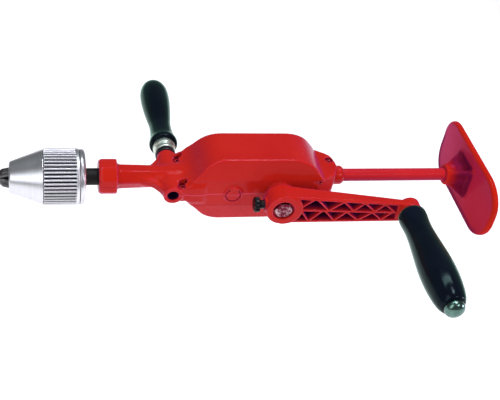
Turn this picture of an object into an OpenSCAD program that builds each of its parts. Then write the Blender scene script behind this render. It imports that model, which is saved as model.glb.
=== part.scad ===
// Breast drill: hand-cranked drill with a two-stage gear train, three-jaw
// chuck, side handle and breast plate. Lengths in millimetres.
// Frame: +X along the spindle from the chuck nose to the breast plate,
// crank on the -Y side, side handle on the +Y side, +Z up.
// Origin: centre of the chuck's nose face.
// Inside the modules x is counted from the crank axis, and rig() moves the
// finished piece to the frame.

/* [Layout] */
// Distance from the chuck nose face to the crank axis
crank_x = 199; // [197:0.5:203]
// Distance from the crank axis to the side handle axis
handle_x = 81; // [80:0.5:82]
// Distance from the crank axis to the back of the breast plate
plate_x = 166.2; // [158:0.2:180]

/* [Housing] */
// Half height of the gear housing
house_h = 28.6; // [27.6:0.2:32]
// Half width of the flat top of the housing
house_top = 17; // [16.5:0.25:18]
// Half width of the housing side wall
house_w = 21; // [20.5:0.25:22]
// Wall thickness of the two shells
wall = 2.6; // [2:0.1:3]
// Half height of the rear block that holds the tube
rear_h = 8.8; // [8.4:0.2:9.2]
// Half height of the front shoulder
shoulder_h = 4.2; // [4:0.2:5]
// Distance across flats of the octagonal nose collar
collar_af = 26; // [24:0.2:27]

/* [Chuck] */
// Largest radius of the chuck
chuck_r = 21; // [20.8:0.1:22]
// Radius of the chuck nose face
nose_r = 11.8; // [11:0.1:12.5]
// Number of ribs round the chuck sleeve
rib_count = 45; // [36:1:54]
// Angle between each jaw and the spindle axis
jaw_angle = 14; // [13.5:0.25:14.25]
// Radius of the drill bit that the jaws hold
bit_r = 1.5; // [1.3:0.1:1.7]
// Radius of each round jaw
jaw_r = 3.6; // [3.4:0.1:3.6]

/* [Gears] */
// Module of all four gears
gear_m = 1; // [1:0.5:1]
// Teeth of the large spur gear on the crank shaft
crank_teeth = 46; // [46:2:46]
// Teeth of the small spur pinion on the idler
spur_teeth = 25; // [25:2:25]
// Teeth of the bevel gear on the idler
bevel_teeth = 40; // [40:2:40]
// Teeth of the bevel pinion on the spindle
pinion_teeth = 16; // [16:2:16]
// Thinning of each tooth, as a part of the tooth pitch
backlash = 0.05; // [0.04:0.01:0.08]

/* [Crank] */
// Distance from the crank axis to the crank handle axis
crank_throw = 99.7; // [95:0.5:105]
// Half height of the crank hub
hub_r = 13; // [12:0.5:13.5]
// Distance across flats of the hexagonal shaft end
hex_af = 13; // [12:0.5:13.5]
// Largest radius of the crank grip
grip_r = 13.7; // [12.5:0.1:14]

/* [Tube and plate] */
// Radius of the breast tube
tube_r = 5; // [4.8:0.1:5.2]
// Half length of the breast plate, along Y
plate_l = 54.4; // [50:0.2:58]
// Half width of the breast plate, along Z
plate_w = 26.9; // [26:0.1:28]
// Corner radius of the breast plate
plate_c = 22; // [18:1:25]
// Distance from the tube axis to the middle of the plate, along Y
plate_y = -3.5; // [-4:0.5:0]
// Radius that the breast plate is curved to
plate_bend = 150; // [140:10:200]

/* [Hidden] */

RED = "#be2d23";
STEEL = "#b9bcbd";
DARK = "#3a3b3d";
BLACK = "#15181a";
BRONZE = "#b08a4a";
BRASS = "#c9a64c";
ALU = "#d5d8db";

// clearances, radial
run = 0.06;      // shafts in bushes
seat = 0.02;     // pieces pressed or dropped into seats
eps = 0.01;

// ---------- gear arithmetic ----------
PA = 20;                                     // pressure angle
pr_crank = gear_m*crank_teeth/2;
pr_spur = gear_m*spur_teeth/2;
idler_x = pr_crank + pr_spur;                // crank axis to idler axis
cone_r = gear_m*sqrt(bevel_teeth*bevel_teeth + pinion_teeth*pinion_teeth)/2;
cone_gear = atan(bevel_teeth/pinion_teeth);  // pitch cone angle of the gear
cone_pin = 90 - cone_gear;
face_b = 6.5;                                // face width of the bevel teeth
apex_x = -idler_x;                           // where the two cone axes meet
spur_y0 = -13;
spur_y1 = -7;

function inv(a) = tan(a)*180/PI - a;
// half angle of a tooth at radius r, on a gear of pitch radius rp with z teeth
function half_tooth(r, rp, z) =
    let (rb = rp*cos(PA), a = r <= rb ? 0 : acos(rb/r))
    90/z - 180*backlash/z + inv(PA) - inv(a);
// one tooth as [radius, angle] pairs, counter-clockwise
function tooth(rp, z, add, ded, n) =
    let (rb = rp*cos(PA), rr = rp - ded, ra = rp + add, r0 = max(rb, rr))
    concat(
        [[rr, -half_tooth(r0, rp, z)]],
        [for (i = [0:n]) let (r = r0 + (ra - r0)*i/n) [r, -half_tooth(r, rp, z)]],
        [for (i = [n:-1:0]) let (r = r0 + (ra - r0)*i/n) [r, half_tooth(r, rp, z)]],
        [[rr, half_tooth(r0, rp, z)]]);

// outline of a spur gear, a tooth centred on +X
module spur_outline(z) {
    t = tooth(gear_m*z/2, z, gear_m*0.95, gear_m*1.25, 5);
    polygon([for (k = [0:z - 1]) for (p = t)
        let (a = p[1] + 360*k/z) [p[0]*cos(a), p[0]*sin(a)]]);
}
// outline of a bevel gear in the plane at distance h from its cone's point,
// as seen from that point; each tooth is worked out on the back cone
module bevel_outline(z, cone, h) {
    rv = cone_r*tan(cone);
    zv = z/cos(cone);
    t = tooth(rv, zv, gear_m*0.93, gear_m*1.25, 4);
    polygon([for (k = [0:z - 1]) for (p = t)
        let (c = cone + atan((p[0] - rv)/cone_r), r = h*tan(c),
             a = p[1]/cos(cone) + 360*k/z) [r*cos(a), r*sin(a)]]);
}
// point at distance r along the pitch cone and e outward from it: [radial, axial]
function cone_pt(cone, r, e) = [r*sin(cone) + e*cos(cone), r*cos(cone) - e*sin(cone)];
// the toothed ring of a bevel gear, its cone's point at the origin, opening to +Z
module bevel_teeth_ring(z, cone) {
    h = cone_r*cos(cone);
    k = 0.55;
    k1 = 1.25;
    f = (cone_r - face_b)/cone_r;
    intersection() {
        translate([0, 0, h*k1]) mirror([0, 0, 1])
            linear_extrude(height = h*(k1 - k), scale = k/k1)
                scale([k1, k1]) bevel_outline(z, cone, h);
        rotate_extrude($fn = 96) polygon([
            cone_pt(cone, cone_r, gear_m), cone_pt(cone, cone_r, -gear_m*1.45),
            cone_pt(cone, cone_r - face_b, -gear_m*1.45*f), cone_pt(cone, cone_r - face_b, gear_m*f)]);
    }
}

// ---------- small helpers ----------
// closed outline with each corner blended over the distance d
function blend(pts, d, n = 4) = let (m = len(pts)) [for (i = [0:m - 1])
    let (b = pts[i], a = pts[(i + m - 1)%m], c = pts[(i + 1)%m],
         la = norm(a - b), lc = norm(c - b), dd = min(d, la/2.05, lc/2.05),
         p = b + (a - b)*dd/la, q = b + (c - b)*dd/lc)
    for (k = [0:n]) let (t = k/n) p*(1 - t)*(1 - t) + b*2*t*(1 - t) + q*t*t];
module rig() translate([crank_x, 0, 0]) children();
// solid of revolution about the X axis, profile as [x, r]
module about_x(profile, fn = 72)
    rotate([90, 0, 90]) rotate_extrude($fn = fn) polygon([for (p = profile) [p[1], p[0]]]);
// cylinder along X from x0 to x1
module rod_x(r, x0, x1, fn = 48) translate([x0, 0, 0]) rotate([0, 90, 0]) cylinder(r = r, h = x1 - x0, $fn = fn);
// cylinder along Y from y0 to y1
module rod_y(r, y0, y1, fn = 48) translate([0, y0, 0]) rotate([-90, 0, 0]) cylinder(r = r, h = y1 - y0, $fn = fn);
// cylinder along Z from z0 to z1
module rod_z(r, z0, z1, fn = 32) translate([0, 0, z0]) cylinder(r = r, h = z1 - z0, $fn = fn);
// solid of revolution about the Y axis, profile as [y, r]
module about_y(profile, fn = 72)
    rotate([-90, 0, 0]) rotate_extrude($fn = fn) polygon([for (p = profile) [p[1], p[0]]]);
// outline in X and Y raised along Z from -h to h
module plan_slab(pts, h) translate([0, 0, -h]) linear_extrude(height = 2*h) polygon(pts);
// outline in X and Z raised along Y from y0 to y1
module side_slab(pts, y0, y1) translate([0, y1, 0]) rotate([90, 0, 0]) linear_extrude(height = y1 - y0) polygon(pts);
// outline in Y and Z raised along X from x0 to x1
module end_slab(pts, x0, x1) translate([x0, 0, 0]) rotate([90, 0, 90]) linear_extrude(height = x1 - x0) polygon(pts);
// ring along X
module ring_x(r_in, r_out, x0, x1) difference() {
    rod_x(r_out, x0, x1, 72);
    rod_x(r_in, x0 - 1, x1 + 1, 72);
}
// ring along Y
module ring_y(r_in, r_out, y0, y1) difference() {
    rod_y(r_out, y0, y1, 72);
    rod_y(r_in, y0 - 1, y1 + 1, 72);
}

// ---------- stations along the spindle, from the crank axis ----------
nose_x = -crank_x;
cone_end = nose_x + 24.3;
sleeve_x0 = cone_end + 0.2;
sleeve_x1 = nose_x + 50.4;
chuck_back = nose_x + 54.6;
collar_x0 = -134.5;
collar_x1 = -121.1;
race_x0 = -131;
race_x1 = -124.9;
ball_r = 1.5;
neck_bush_x1 = -104;
rear_bush_x0 = -75.2;
rear_bush_x1 = -64;
spindle_end = -50;
shaft_r = 6.35;          // thick front part of the spindle
journal_r = 5;           // spindle in the bushes
pinion_bore = 3.5;

// shell screws: [x, y, height of the head, height of the deck, lower end of the boss]
screw_at = [[-73.3, 15.6, 2, shoulder_h, -8.2], [-73.3, -15.6, 2, shoulder_h, -8.2], [46.3, 8.4, 6.6, rear_h, -rear_h]];
head_r = 2.9;
shank_r = 1.5;

// ---------- housing ----------
// cross section of the gear housing, inset by g: [y, z]
function house_section(g) = let (h = house_h - g, w = house_w - g, t = house_top - g)
    [[t, h], [w, 12], [w + 0.8, 0], [w, -12], [t, -h],
     [-t, -h], [-w, -12], [-w - 0.8, 0], [-w, 12], [-t, h]];
// side profile of the gear housing, inset by g: [x, z]
function house_profile(g) = let (h = house_h - g, s = g*0.42)
    [[-80 + g*2, 4], [-66.5 + g*0.9, 10.8], [-52.5 + s, h], [21.5 - s, h], [40.5 - g*1.4, 5],
     [40.5 - g*1.4, -5], [21.5 - s, -h], [-52.5 + s, -h], [-66.5 + g*0.9, -10.8], [-80 + g*2, -4]];
// plan of the gear housing, inset by g: [x, y]
function house_plan(g) = let (w = house_w + 0.8 - g)
    [[-82 + g*1.4, 5.4], [-67 + g*0.4, w], [33 - g, w], [41 - g, 17 - g],
     [41 - g, -17 + g], [33 - g, -w], [-67 + g*0.4, -w], [-82 + g*1.4, -5.4]];
module house_block(g) intersection() {
    end_slab(blend(house_section(g), 3), -90, 60);
    side_slab(blend(house_profile(g), 13, 6), -40, 40);
    plan_slab(blend(house_plan(g), 4), 40);
}
module shell_outside() {
    // gear housing and rear block, the near corner of the block cut off at a slant
    difference() {
        union() {
            house_block(0);
            plan_slab(blend([[30, 21.5], [37.4, 21.5], [41.8, 18.9], [45.4, 16.6], [47.8, 14.5], [49.2, 12.1], [50.4, 7.2], [51, 4],
                [50.8, 0], [49, -5], [46.5, -10.5], [45.2, -14.4], [42, -18.5], [37.5, -21.5], [30, -21.5]], 2), rear_h);
        }
        translate([36.5, -16.1, rear_h]) rotate([0, 64.5, -59.9]) translate([-1, -25, 0]) cube([27, 50, 20]);
    }
    // front shoulder, web and neck
    plan_slab(blend([[-90, 8], [-85, 14], [-83, 21], [-77, 21.5], [-60, 21.5],
        [-60, -21.5], [-77, -21.5], [-83, -21], [-85, -14], [-90, -8]], 3), shoulder_h);
    plan_slab(blend([[-102, 7], [-95, 10], [-90.5, 16], [-87, 20.5], [-79, 20.5],
        [-79, -20.5], [-87, -20.5], [-90.5, -16], [-95, -10], [-102, -7]], 4), 3);
    end_slab([[4.1, 7.8], [8.4, 0], [4.1, -7.8], [-4.1, -7.8], [-8.4, 0], [-4.1, 7.8]], -123, -62);
    // nose collar
    intersection() {
        translate([collar_x0, 0, 0]) rotate([0, 90, 0]) rotate([0, 0, 22.5])
            cylinder(r = collar_af/2/cos(22.5), h = collar_x1 - collar_x0, $fn = 8);
        about_x([[collar_x0, 0], [collar_x0, collar_af/2 - 1.2], [collar_x0 + 2, collar_af/2 + 0.9],
            [collar_x1 - 0.8, collar_af/2 + 0.9], [collar_x1, collar_af/2 + 0.2], [collar_x1, 0]]);
    }
    // cross boss for the side handle
    translate([-handle_x, 0, 0]) rod_y(7.2, -23.5, 23.5, 72);
    // rear collar
    about_x([[48, 0], [48, 7.4], [54.4, 7.4], [56, 6.6], [56.8, 5.8], [56.8, 0]]);
    // idler bosses, each with a ring groove
    for (s = [1, -1]) translate([-idler_x, 0, 0]) scale([1, s, 1]) difference() {
        rod_y(7, 18, 24.5, 72);
        ring_y(5.3, 6.2, 23.6, 26);
    }
    // crank shaft bosses
    rod_y(11.5, -25.2, -18, 72);
    rod_y(9.5, 18, 23.5, 72);
    // screw bosses under the shoulders
    for (p = screw_at) translate([p[0], p[1], 0]) rod_z(4.6, p[4], 0);
}
module shell_posts() intersection() {
    house_block(0);
    union() {
        rod_x(9.8, -79, rear_bush_x1, 48);
        translate([-idler_x, 0, 0]) { rod_y(7, -24, -14.6); rod_y(7, 17.4, 24); }
        rod_y(11.5, -24, -14.1);
        rod_y(9.5, 13, 24);
        for (p = screw_at) translate([p[0], p[1], 0]) rod_z(4.6, p[4], p[2] + 2);
    }
}
module shell_bores() {
    // spindle line
    rod_x(8.8 + seat, collar_x0 - 1, race_x0 - 0.1);
    rod_x(10.2, race_x0 - 0.1 - eps, race_x1);
    rod_x(6 + seat, race_x1 - eps, neck_bush_x1);
    rod_x(journal_r + 0.35, neck_bush_x1 - eps, rear_bush_x0);
    rod_x(7.5 + seat, rear_bush_x0 - eps, rear_bush_x1 + 1);
    // side handle holes and the pockets for their nuts
    for (s = [1, -1]) translate([-handle_x, 0, 0]) scale([1, s, 1]) {
        rod_y(4.3, 7.3, 24.5);
        translate([0, 7.85, 0]) rotate([-90, 0, 0]) rotate([0, 0, 30]) cylinder(r = 10.9/2/cos(30), h = 4.3, $fn = 6);
    }
    // idler pin
    translate([-idler_x, 0, 0]) rod_y(4 + seat, -22.8, 21.2);
    // crank shaft bushes
    rod_y(9.5 + seat, -26, -13);
    rod_y(7 + seat, 12, 21);
    // breast tube and its pin
    rod_x(tube_r + seat, 36, 59);
    translate([43, 0, 0]) rod_z(1.5 + seat, -6.6, 6.6);
    // screws
    for (p = screw_at) translate([p[0], p[1], 0]) {
        rod_z(shank_r + 0.25, -0.5, p[2] + 1);
        rod_z(head_r + 0.15, p[2] - 1.4, p[3] + 9);
        rod_z(shank_r + 0.05, p[4] + 0.8, 0.1);
    }
}
module shell_form() difference() {
    union() {
        difference() {
            shell_outside();
            intersection() {
                house_block(wall);
                translate([-71, -50, -50]) cube([71 + 35.5, 100, 100]);
            }
        }
        shell_posts();
    }
    shell_bores();
}
module upper_shell() color(RED) rig() intersection() {
    shell_form();
    translate([-150, -60, 0]) cube([220, 120, 60]);
}
module lower_shell() color(RED) rig() intersection() {
    shell_form();
    translate([-150, -60, -60]) cube([220, 120, 60]);
}
// pan head screws with a cross recess
module shell_screws() color(RED) rig() for (p = screw_at) translate([p[0], p[1], 0]) difference() {
    union() {
        rod_z(shank_r, p[4] + 1, p[2]);
        rotate_extrude($fn = 40) polygon([[0, p[2] - 1.4], [head_r, p[2] - 1.4], [head_r, p[2] - 0.4], [head_r - 0.7, p[2] + 0.5], [0, p[2] + 0.8]]);
    }
    for (a = [45, 135]) rotate([0, 0, a]) translate([-1.9, -0.42, p[2] - 0.7]) cube([3.8, 0.84, 3]);
}

// ---------- spindle bearings ----------
module front_bush() color(BRONZE) rig() ring_x(shaft_r + run, 8.8, collar_x0, race_x0 - 0.1);
module neck_bush() color(BRONZE) rig() ring_x(journal_r + run, 6, race_x1, neck_bush_x1);
module rear_bush() color(BRONZE) rig() ring_x(journal_r + run, 7.5, rear_bush_x0, rear_bush_x1);
ball_x = race_x0 + 1.5 + ball_r + 0.03;
ball_pitch = 7.6;
module thrust_race_turning() color(STEEL) rig() ring_x(journal_r + seat, 9.9, race_x0, race_x0 + 1.5);
module thrust_race_fixed() color(STEEL) rig() ring_x(journal_r + 0.4, 10.15, race_x1 - 1.5, race_x1);
module thrust_balls() color(STEEL) rig() for (k = [0:9]) rotate([36*k, 0, 0])
    translate([ball_x, 0, ball_pitch]) sphere(r = ball_r, $fn = 32);
module thrust_cage() color(BRASS) rig() difference() {
    ring_x(5.6, 9.7, ball_x - 0.6, ball_x + 0.6);
    for (k = [0:9]) rotate([36*k, 0, 0]) translate([0, 0, ball_pitch]) rod_x(ball_r + 0.08, ball_x - 1, ball_x + 1, 32);
}

// ---------- spindle ----------
module spindle() color(BLACK) rig() difference() {
    about_x([[chuck_back - 15.4, 0], [chuck_back - 15.4, 4.4], [chuck_back - 14.9, 4.9], [chuck_back, 4.9],
        [chuck_back, shaft_r], [race_x0, shaft_r], [race_x0, journal_r], [rear_bush_x1, journal_r],
        [rear_bush_x1, pinion_bore], [spindle_end, pinion_bore], [spindle_end, 0]]);
    translate([-60, 0, 0]) rod_z(1 + seat, -9, 9);
}
module pinion_washer() color(STEEL) rig() ring_x(pinion_bore + seat, 7.2, rear_bush_x1 + 0.05, rear_bush_x1 + 0.95);
module bevel_pinion() color(STEEL) rig() difference() {
    union() {
        translate([apex_x, 0, 0]) rotate([0, -90, 0]) rotate([0, 0, 90 + 180/pinion_teeth]) {
            bevel_teeth_ring(pinion_teeth, cone_pin);
            f = (cone_r - face_b)/cone_r;
            rotate_extrude($fn = 72) polygon([
                [pinion_bore + seat, 27.4], [6.2, 27.4], [6.2, 21],
                cone_pt(cone_pin, cone_r, -gear_m*1.13), cone_pt(cone_pin, cone_r - face_b, -gear_m*1.13*f),
                [pinion_bore + seat, cone_pt(cone_pin, cone_r - face_b, -gear_m*1.13*f)[1]]]);
        }
    }
    rod_x(pinion_bore + seat, -70, -40, 48);
    translate([-60, 0, 0]) rod_z(1 + seat, -9, 9);
}
module pinion_pin() color(DARK) rig() translate([-60, 0, 0]) rod_z(1, -5.9, 5.9, 24);

// ---------- chuck ----------
jaw_tip = nose_x - 6.5;
jaw_r0 = 2.9;
jaw_len = 36;
jaw_gap = 0.6;           // offset of each jaw's wedge from the axis
ring_x0 = cone_end + 0.25;
ring_x1 = ring_x0 + 5;
body_r = chuck_r - 2;
// outer edge of the jaws at station x
function jaw_edge(x) = jaw_r0 + (x - jaw_tip)*tan(jaw_angle) + jaw_r/cos(jaw_angle);
// the jaw's own axis laid along +X, starting s0 before the tip
module jaw_line(a, r, s0, s1) rotate([a, 0, 0]) translate([jaw_tip, 0, jaw_r0])
    rotate([0, 90 - jaw_angle, 0]) translate([0, 0, s0]) cylinder(r = r, h = s1 - s0, $fn = 64);
module jaw(a) intersection() {
    jaw_line(a, jaw_r, -4, jaw_len);
    rotate([a, 0, 0]) difference() {
        translate([jaw_tip, 0, jaw_gap]) rotate([90, 0, 90])
            linear_extrude(height = 60) polygon([[0, 0], [14, 14/tan(60)], [14, 24.25], [-14, 24.25], [-14, 14/tan(60)]]);
        rod_x(bit_r, jaw_tip - 1, jaw_tip + 70, 48);
    }
    about_x([[jaw_tip, 0], [jaw_tip, 5], [jaw_tip + 2, 6.9], [jaw_tip + 2, 30], [jaw_tip + 70, 30], [jaw_tip + 70, 0]]);
}
module jaw_a() color(DARK) rig() jaw(0);
module jaw_b() color(DARK) rig() jaw(120);
module jaw_c() color(DARK) rig() jaw(240);
module chuck_body() color(ALU) rig() difference() {
    about_x([[nose_x, 0], [nose_x, nose_r - 0.8], [nose_x + 0.8, nose_r], [cone_end - 0.6, chuck_r - 0.5], [cone_end, chuck_r - 0.9],
        [cone_end, body_r - 1], [ring_x0 - 0.1, body_r - 1], [ring_x0 - 0.1, jaw_edge(ring_x0) - 0.1],
        [ring_x1 + 0.1, jaw_edge(ring_x1) - 0.1], [ring_x1 + 0.1, body_r], [sleeve_x1 + 0.2, body_r],
        [sleeve_x1 + 0.2, chuck_r - 0.4], [chuck_back - 1.4, chuck_r - 0.4], [chuck_back - 0.3, chuck_r - 1.6],
        [chuck_back, chuck_r - 2.6], [chuck_back, 0]], 96);
    for (a = [0, 120, 240]) jaw_line(a, jaw_r + 0.05, -6, jaw_len + 14.6);
    rod_x(5.2, nose_x - 1, nose_x + 34);
    rod_x(4.9 + seat, chuck_back - 15.6, chuck_back + 1);
}
module chuck_sleeve() color(ALU) rig() difference() {
    about_x([[sleeve_x0, body_r + 0.08], [sleeve_x0, chuck_r - 0.9], [sleeve_x0 + 0.9, chuck_r], [sleeve_x1 - 0.9, chuck_r],
        [sleeve_x1, chuck_r - 0.8], [sleeve_x1, body_r + 0.08]], 96);
    for (k = [0:rib_count - 1]) rotate([360*k/rib_count, 0, 0]) translate([0, 0, chuck_r + 0.2])
        rod_x(0.95, sleeve_x0 - 1, sleeve_x1 - 1.6, 16);
}
module chuck_ring_nut() color(STEEL) rig() about_x([[ring_x0, jaw_edge(ring_x0) + 0.06], [ring_x0, body_r + 0.06],
    [ring_x1, body_r + 0.06], [ring_x1, jaw_edge(ring_x1) + 0.06]], 96);

// ---------- idler ----------
module idler_pin() color(STEEL) rig() translate([-idler_x, 0, 0]) rod_y(4, -22.7, 21.1);
module bevel_gear() color(STEEL) rig() translate([-idler_x, 0, 0]) difference() {
    rotate([-90, 0, 0]) {
        rotate([0, 0, 180]) bevel_teeth_ring(bevel_teeth, cone_gear);
        f = (cone_r - face_b)/cone_r;
        g0 = cone_pt(cone_gear, cone_r, -gear_m*1.13);
        g1 = cone_pt(cone_gear, cone_r - face_b, -gear_m*1.13*f);
        rotate_extrude($fn = 96) polygon([[4 + run, -13.6], [7, -13.6], [7, g1[1]], g1, g0, [g0[0], 11.8], [18.4, 12.6],
            [12, 12.6], [12, 11], [9, 11], [9, 16.5], [4 + run, 16.5]]);
    }
}
module spur_pinion() color(STEEL) rig() translate([-idler_x, 0, 0]) difference() {
    translate([0, spur_y1, 0]) rotate([90, 0, 0]) rotate([0, 0, 180]) linear_extrude(height = spur_y1 - spur_y0) spur_outline(spur_teeth);
    rod_y(7 + seat, -20, 0, 64);
}
module idler_washers() color(BRASS) rig() translate([-idler_x, 0, 0]) {
    ring_y(4 + run, 6.8, -14.5, -13.7);
    ring_y(4 + run, 6.8, 16.6, 17.3);
}

// ---------- crank shaft ----------
module crank_shaft() color(STEEL) rig() difference() {
    union() {
        translate([0, -25.3, 0]) rotate([90, 0, 0]) cylinder(r = hex_af/2/cos(30), h = 16.5, $fn = 6);
        rod_y(7.5, -25.3 - eps, -14, 64);
        rod_y(6, -14 - eps, -1, 64);
        rod_y(5, -1 - eps, 20.6, 64);
    }
    translate([0, -4.5, 0]) rod_z(1.25 + seat, -10, 10);
    ring_y(4.4, 6, 11.7, 12.7);
    // flat seat for the point of the thumb screw
    thumb_axis() rod_x(2.8, -9, -6.5);
}
module crank_bush_near() color(BRONZE) rig() ring_y(7.5 + run, 9.5, -25.1, -14.1);
module crank_bush_far() color(BRONZE) rig() ring_y(5 + run, 7, 13, 20.9);
module crank_gear() color(STEEL) rig() difference() {
    union() {
        difference() {
            translate([0, spur_y1, 0]) rotate([90, 0, 0]) linear_extrude(height = spur_y1 - spur_y0) spur_outline(crank_teeth);
            ring_y(9, 19, spur_y0 - 1, spur_y0 + 1.4);
            ring_y(9, 19, spur_y1 - 1.4, spur_y1 + 1);
        }
        rod_y(9, -13.95, -2, 64);
    }
    rod_y(6 + seat, -20, 0, 64);
    translate([0, -4.5, 0]) rod_z(1.25 + seat, -12, 12);
    for (k = [0:4]) rotate([0, 72*k + 36, 0]) translate([14, 0, 0]) rod_y(2.6, -20, 0);
}
module crank_gear_pin() color(DARK) rig() translate([0, -4.5, 0]) rod_z(1.25, -8.8, 8.8, 24);
module crank_circlip() color(DARK) rig() difference() {
    ring_y(4.42, 7.2, 11.75, 12.65);
    translate([0, 10, -1.6]) cube([12, 4, 3.2]);
}

// ---------- crank arm ----------
hub_y0 = -42;
hub_y1 = -26.2;
throw = crank_throw;
// half height of the arm at station x
function arm_h(x) = 13.1 - 0.0447*x;
// front face and rear face of the arm at station x
function arm_front(x) = -41.3 - 0.055*x;
function arm_rear(x) = min(hub_y1 - 0.1, -26.8 - 0.142*x);
module thumb_axis() translate([0, -34, 0]) children();
// strip of width w between the points a and b
module strip(a, b, w) {
    d = (b - a)/norm(b - a);
    n = [-d[1], d[0]]*w/2;
    polygon([a - d*w/2 + n, b + d*w/2 + n, b + d*w/2 - n, a - d*w/2 - n]);
}
// zig-zag ribs: [station of the first end, of the second end, 1 where the first end is at the middle rib]
rib_top = [[11, 21.6, 1], [25.2, 34.6, 0], [35.4, 45.4, 1], [45.4, 54.4, 0], [54.4, 61.9, 1], [61.9, 71.1, 0], [71.1, 78.2, 1], [78.2, 86.5, 0]];
rib_low = [[13.8, 20.6, 1], [21.4, 29.6, 0], [32.6, 40.7, 1], [40.7, 49.3, 0], [49.3, 59.2, 1], [59.2, 69.6, 0], [69.6, 77.8, 1], [77.8, 84.6, 0]];
rim = 2.2;
// one row of pockets, s is the side
module pocket_row(ribs, s) difference() {
    polygon([[8, s*0.9], [88.5, s*0.9], [88.5, s*(arm_h(88.5) - rim)], [8, s*(arm_h(8) - rim)]]);
    for (r = ribs) strip([r[0], s*(r[2] == 1 ? 0.6 : arm_h(r[0]) - rim + 0.3)], [r[1], s*(r[2] == 1 ? arm_h(r[1]) - rim + 0.3 : 0.6)], 1.5);
}
module crank_arm() color(RED) rig() difference() {
    union() {
        rod_y(hub_r, hub_y0, hub_y1, 96);
        thumb_axis() rod_x(5, -14.6, 0);
        // tapered web
        intersection() {
            plan_slab([[0, arm_front(0)], [0, arm_rear(0)], [12, arm_rear(12)], [throw, arm_rear(throw)], [throw, arm_front(throw)]], 20);
            side_slab([[0, arm_h(0)], [throw, arm_h(throw)], [throw, -arm_h(throw)], [0, -arm_h(0)]], -60, 0);
        }
        translate([throw, 0, 0]) rod_y(9.2, -47.6, -38.2, 72);
    }
    // hexagonal socket and the recess round the shaft end
    translate([0, -20, 0]) rotate([90, 0, 0]) cylinder(r = (hex_af/2 + 0.05)/cos(30), h = 30, $fn = 6);
    rod_y(8.2, hub_y0 - 1, hub_y0 + 2.5, 64);
    thumb_axis() rod_x(2.45, -20, 0);
    // lightening pockets with a zig-zag of ribs, two rows
    difference() {
        union() {
            for (q = [[8, 34], [34, 54], [54, 74], [74, 88.5]])
                translate([0, arm_rear((q[0] + q[1])/2) - 2.6, 0]) rotate([90, 0, 0]) linear_extrude(height = 30) intersection() {
                    union() { pocket_row(rib_top, 1); pocket_row(rib_low, -1); }
                    translate([q[0], -20]) square([q[1] - q[0], 40]);
                }
        }
        rod_y(hub_r + 2, -60, -20, 96);
    }
    translate([throw, 0, 0]) rod_y(4 + seat, -60, -30);
}
module thumb_knob() color(BLACK) rig() thumb_axis() difference() {
    about_x([[-20.8, 0], [-20.8, 4.4], [-20.2, 5.3], [-19.6, 5.6], [-17.4, 5.6], [-16.8, 5.1], [-16.4, 3.4], [-15.4, 3.2],
        [-14.8, 3.6], [-14.75, 0]]);
    for (k = [0:7]) rotate([45*k, 0, 0]) translate([0, 0, 6]) rod_x(0.9, -22, -16.9, 16);
    rod_x(2.4 + seat, -18.4, -14, 32);
}
module thumb_stud() color(STEEL) rig() thumb_axis() about_x([[-18.3, 0], [-18.3, 2.4], [-7.4, 2.4], [-6.6, 1.5], [-6.6, 0]], 48);
module crank_axle() color(STEEL) rig() translate([throw, 0, 0]) {
    about_y([[-147.6, 0], [-147.6, 3.2], [-147.3, 3.5], [-144.2, 3.5], [-144.2, 4], [-38.2, 4], [-38.1, 6], [-36.6, 5.6], [-35.7, 4], [-35.4, 0]], 64);
}
module axle_cap() color(STEEL) rig() translate([throw, 0, 0])
    about_y(concat([[-144.25, 3.5 + seat], [-144.25, 7], [-144.8, 7.6]],
        [for (a = [0:10:90]) [-145.8 - 5.2*sin(a), 7.6*cos(a)]], [[-147.9, 0], [-147.9, 3.5 + seat]]), 64);
module crank_grip() color(BLACK) rig() translate([throw, 0, 0])
    about_y([[-144, 4 + run], [-144, 7.8], [-143, 9.2], [-140, 10.8], [-134, grip_r - 1.5], [-124, grip_r - 0.3], [-113, grip_r],
        [-104, grip_r - 0.25], [-90, grip_r - 1.5], [-76, grip_r - 2.9], [-66, grip_r - 3.4], [-60, grip_r - 3.1], [-55, grip_r - 2.7],
        [-51.5, grip_r - 2.7], [-49.4, grip_r - 3.1], [-48.3, grip_r - 4.1], [-47.8, grip_r - 5.3], [-47.8, 4 + run]], 72);

// ---------- side handle ----------
module handle_axis() translate([-handle_x, 0, 0]) children();
module handle_nuts() color(DARK) rig() handle_axis() for (s = [1, -1]) scale([1, s, 1]) difference() {
    translate([0, 8, 0]) rotate([-90, 0, 0]) rotate([0, 0, 30]) cylinder(r = 10.8/2/cos(30), h = 4, $fn = 6);
    rod_y(4, 6, 30);
}
module side_stud() color(STEEL) rig() handle_axis() about_y([[7.6, 0], [7.6, 3.3], [8.3, 3.95], [74, 3.95], [74, 0]], 64);
module side_lock_ring() color(DARK) rig() handle_axis() about_y([[23.6, 3.95 + seat], [23.6, 7.4], [24.2, 7.9], [27.2, 7.9], [27.8, 7.4],
    [27.8, 3.95 + seat]], 64);
module side_ferrule() color(STEEL) rig() handle_axis() about_y([[27.85, 3.95 + seat], [27.85, 7.7], [28.5, 8.2], [31.2, 8.2], [31.6, 7.7],
    [32.4, 7.7], [32.8, 8.8], [35.6, 8.8], [36, 8.4], [37, 8.4], [37, 3.95 + seat]], 72);
module side_grip() color(BLACK) rig() handle_axis() difference() {
    about_y([[37.05, 0], [37.05, 9.9], [37.6, 10.7], [38.8, 11.1], [40.6, 11.1], [42, 10.8], [44.5, 10], [49, 9.2], [56, 8.6], [63, 8.5],
        [72, 9.5], [82, 10.7], [92, 11.6], [101, 11.9], [108, 11.6], [114, 10.2], [118, 8.1], [120.4, 5.4], [121.4, 2.6], [121.6, 0]], 72);
    rod_y(3.95 + seat, 36, 74.1, 64);
}

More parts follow.
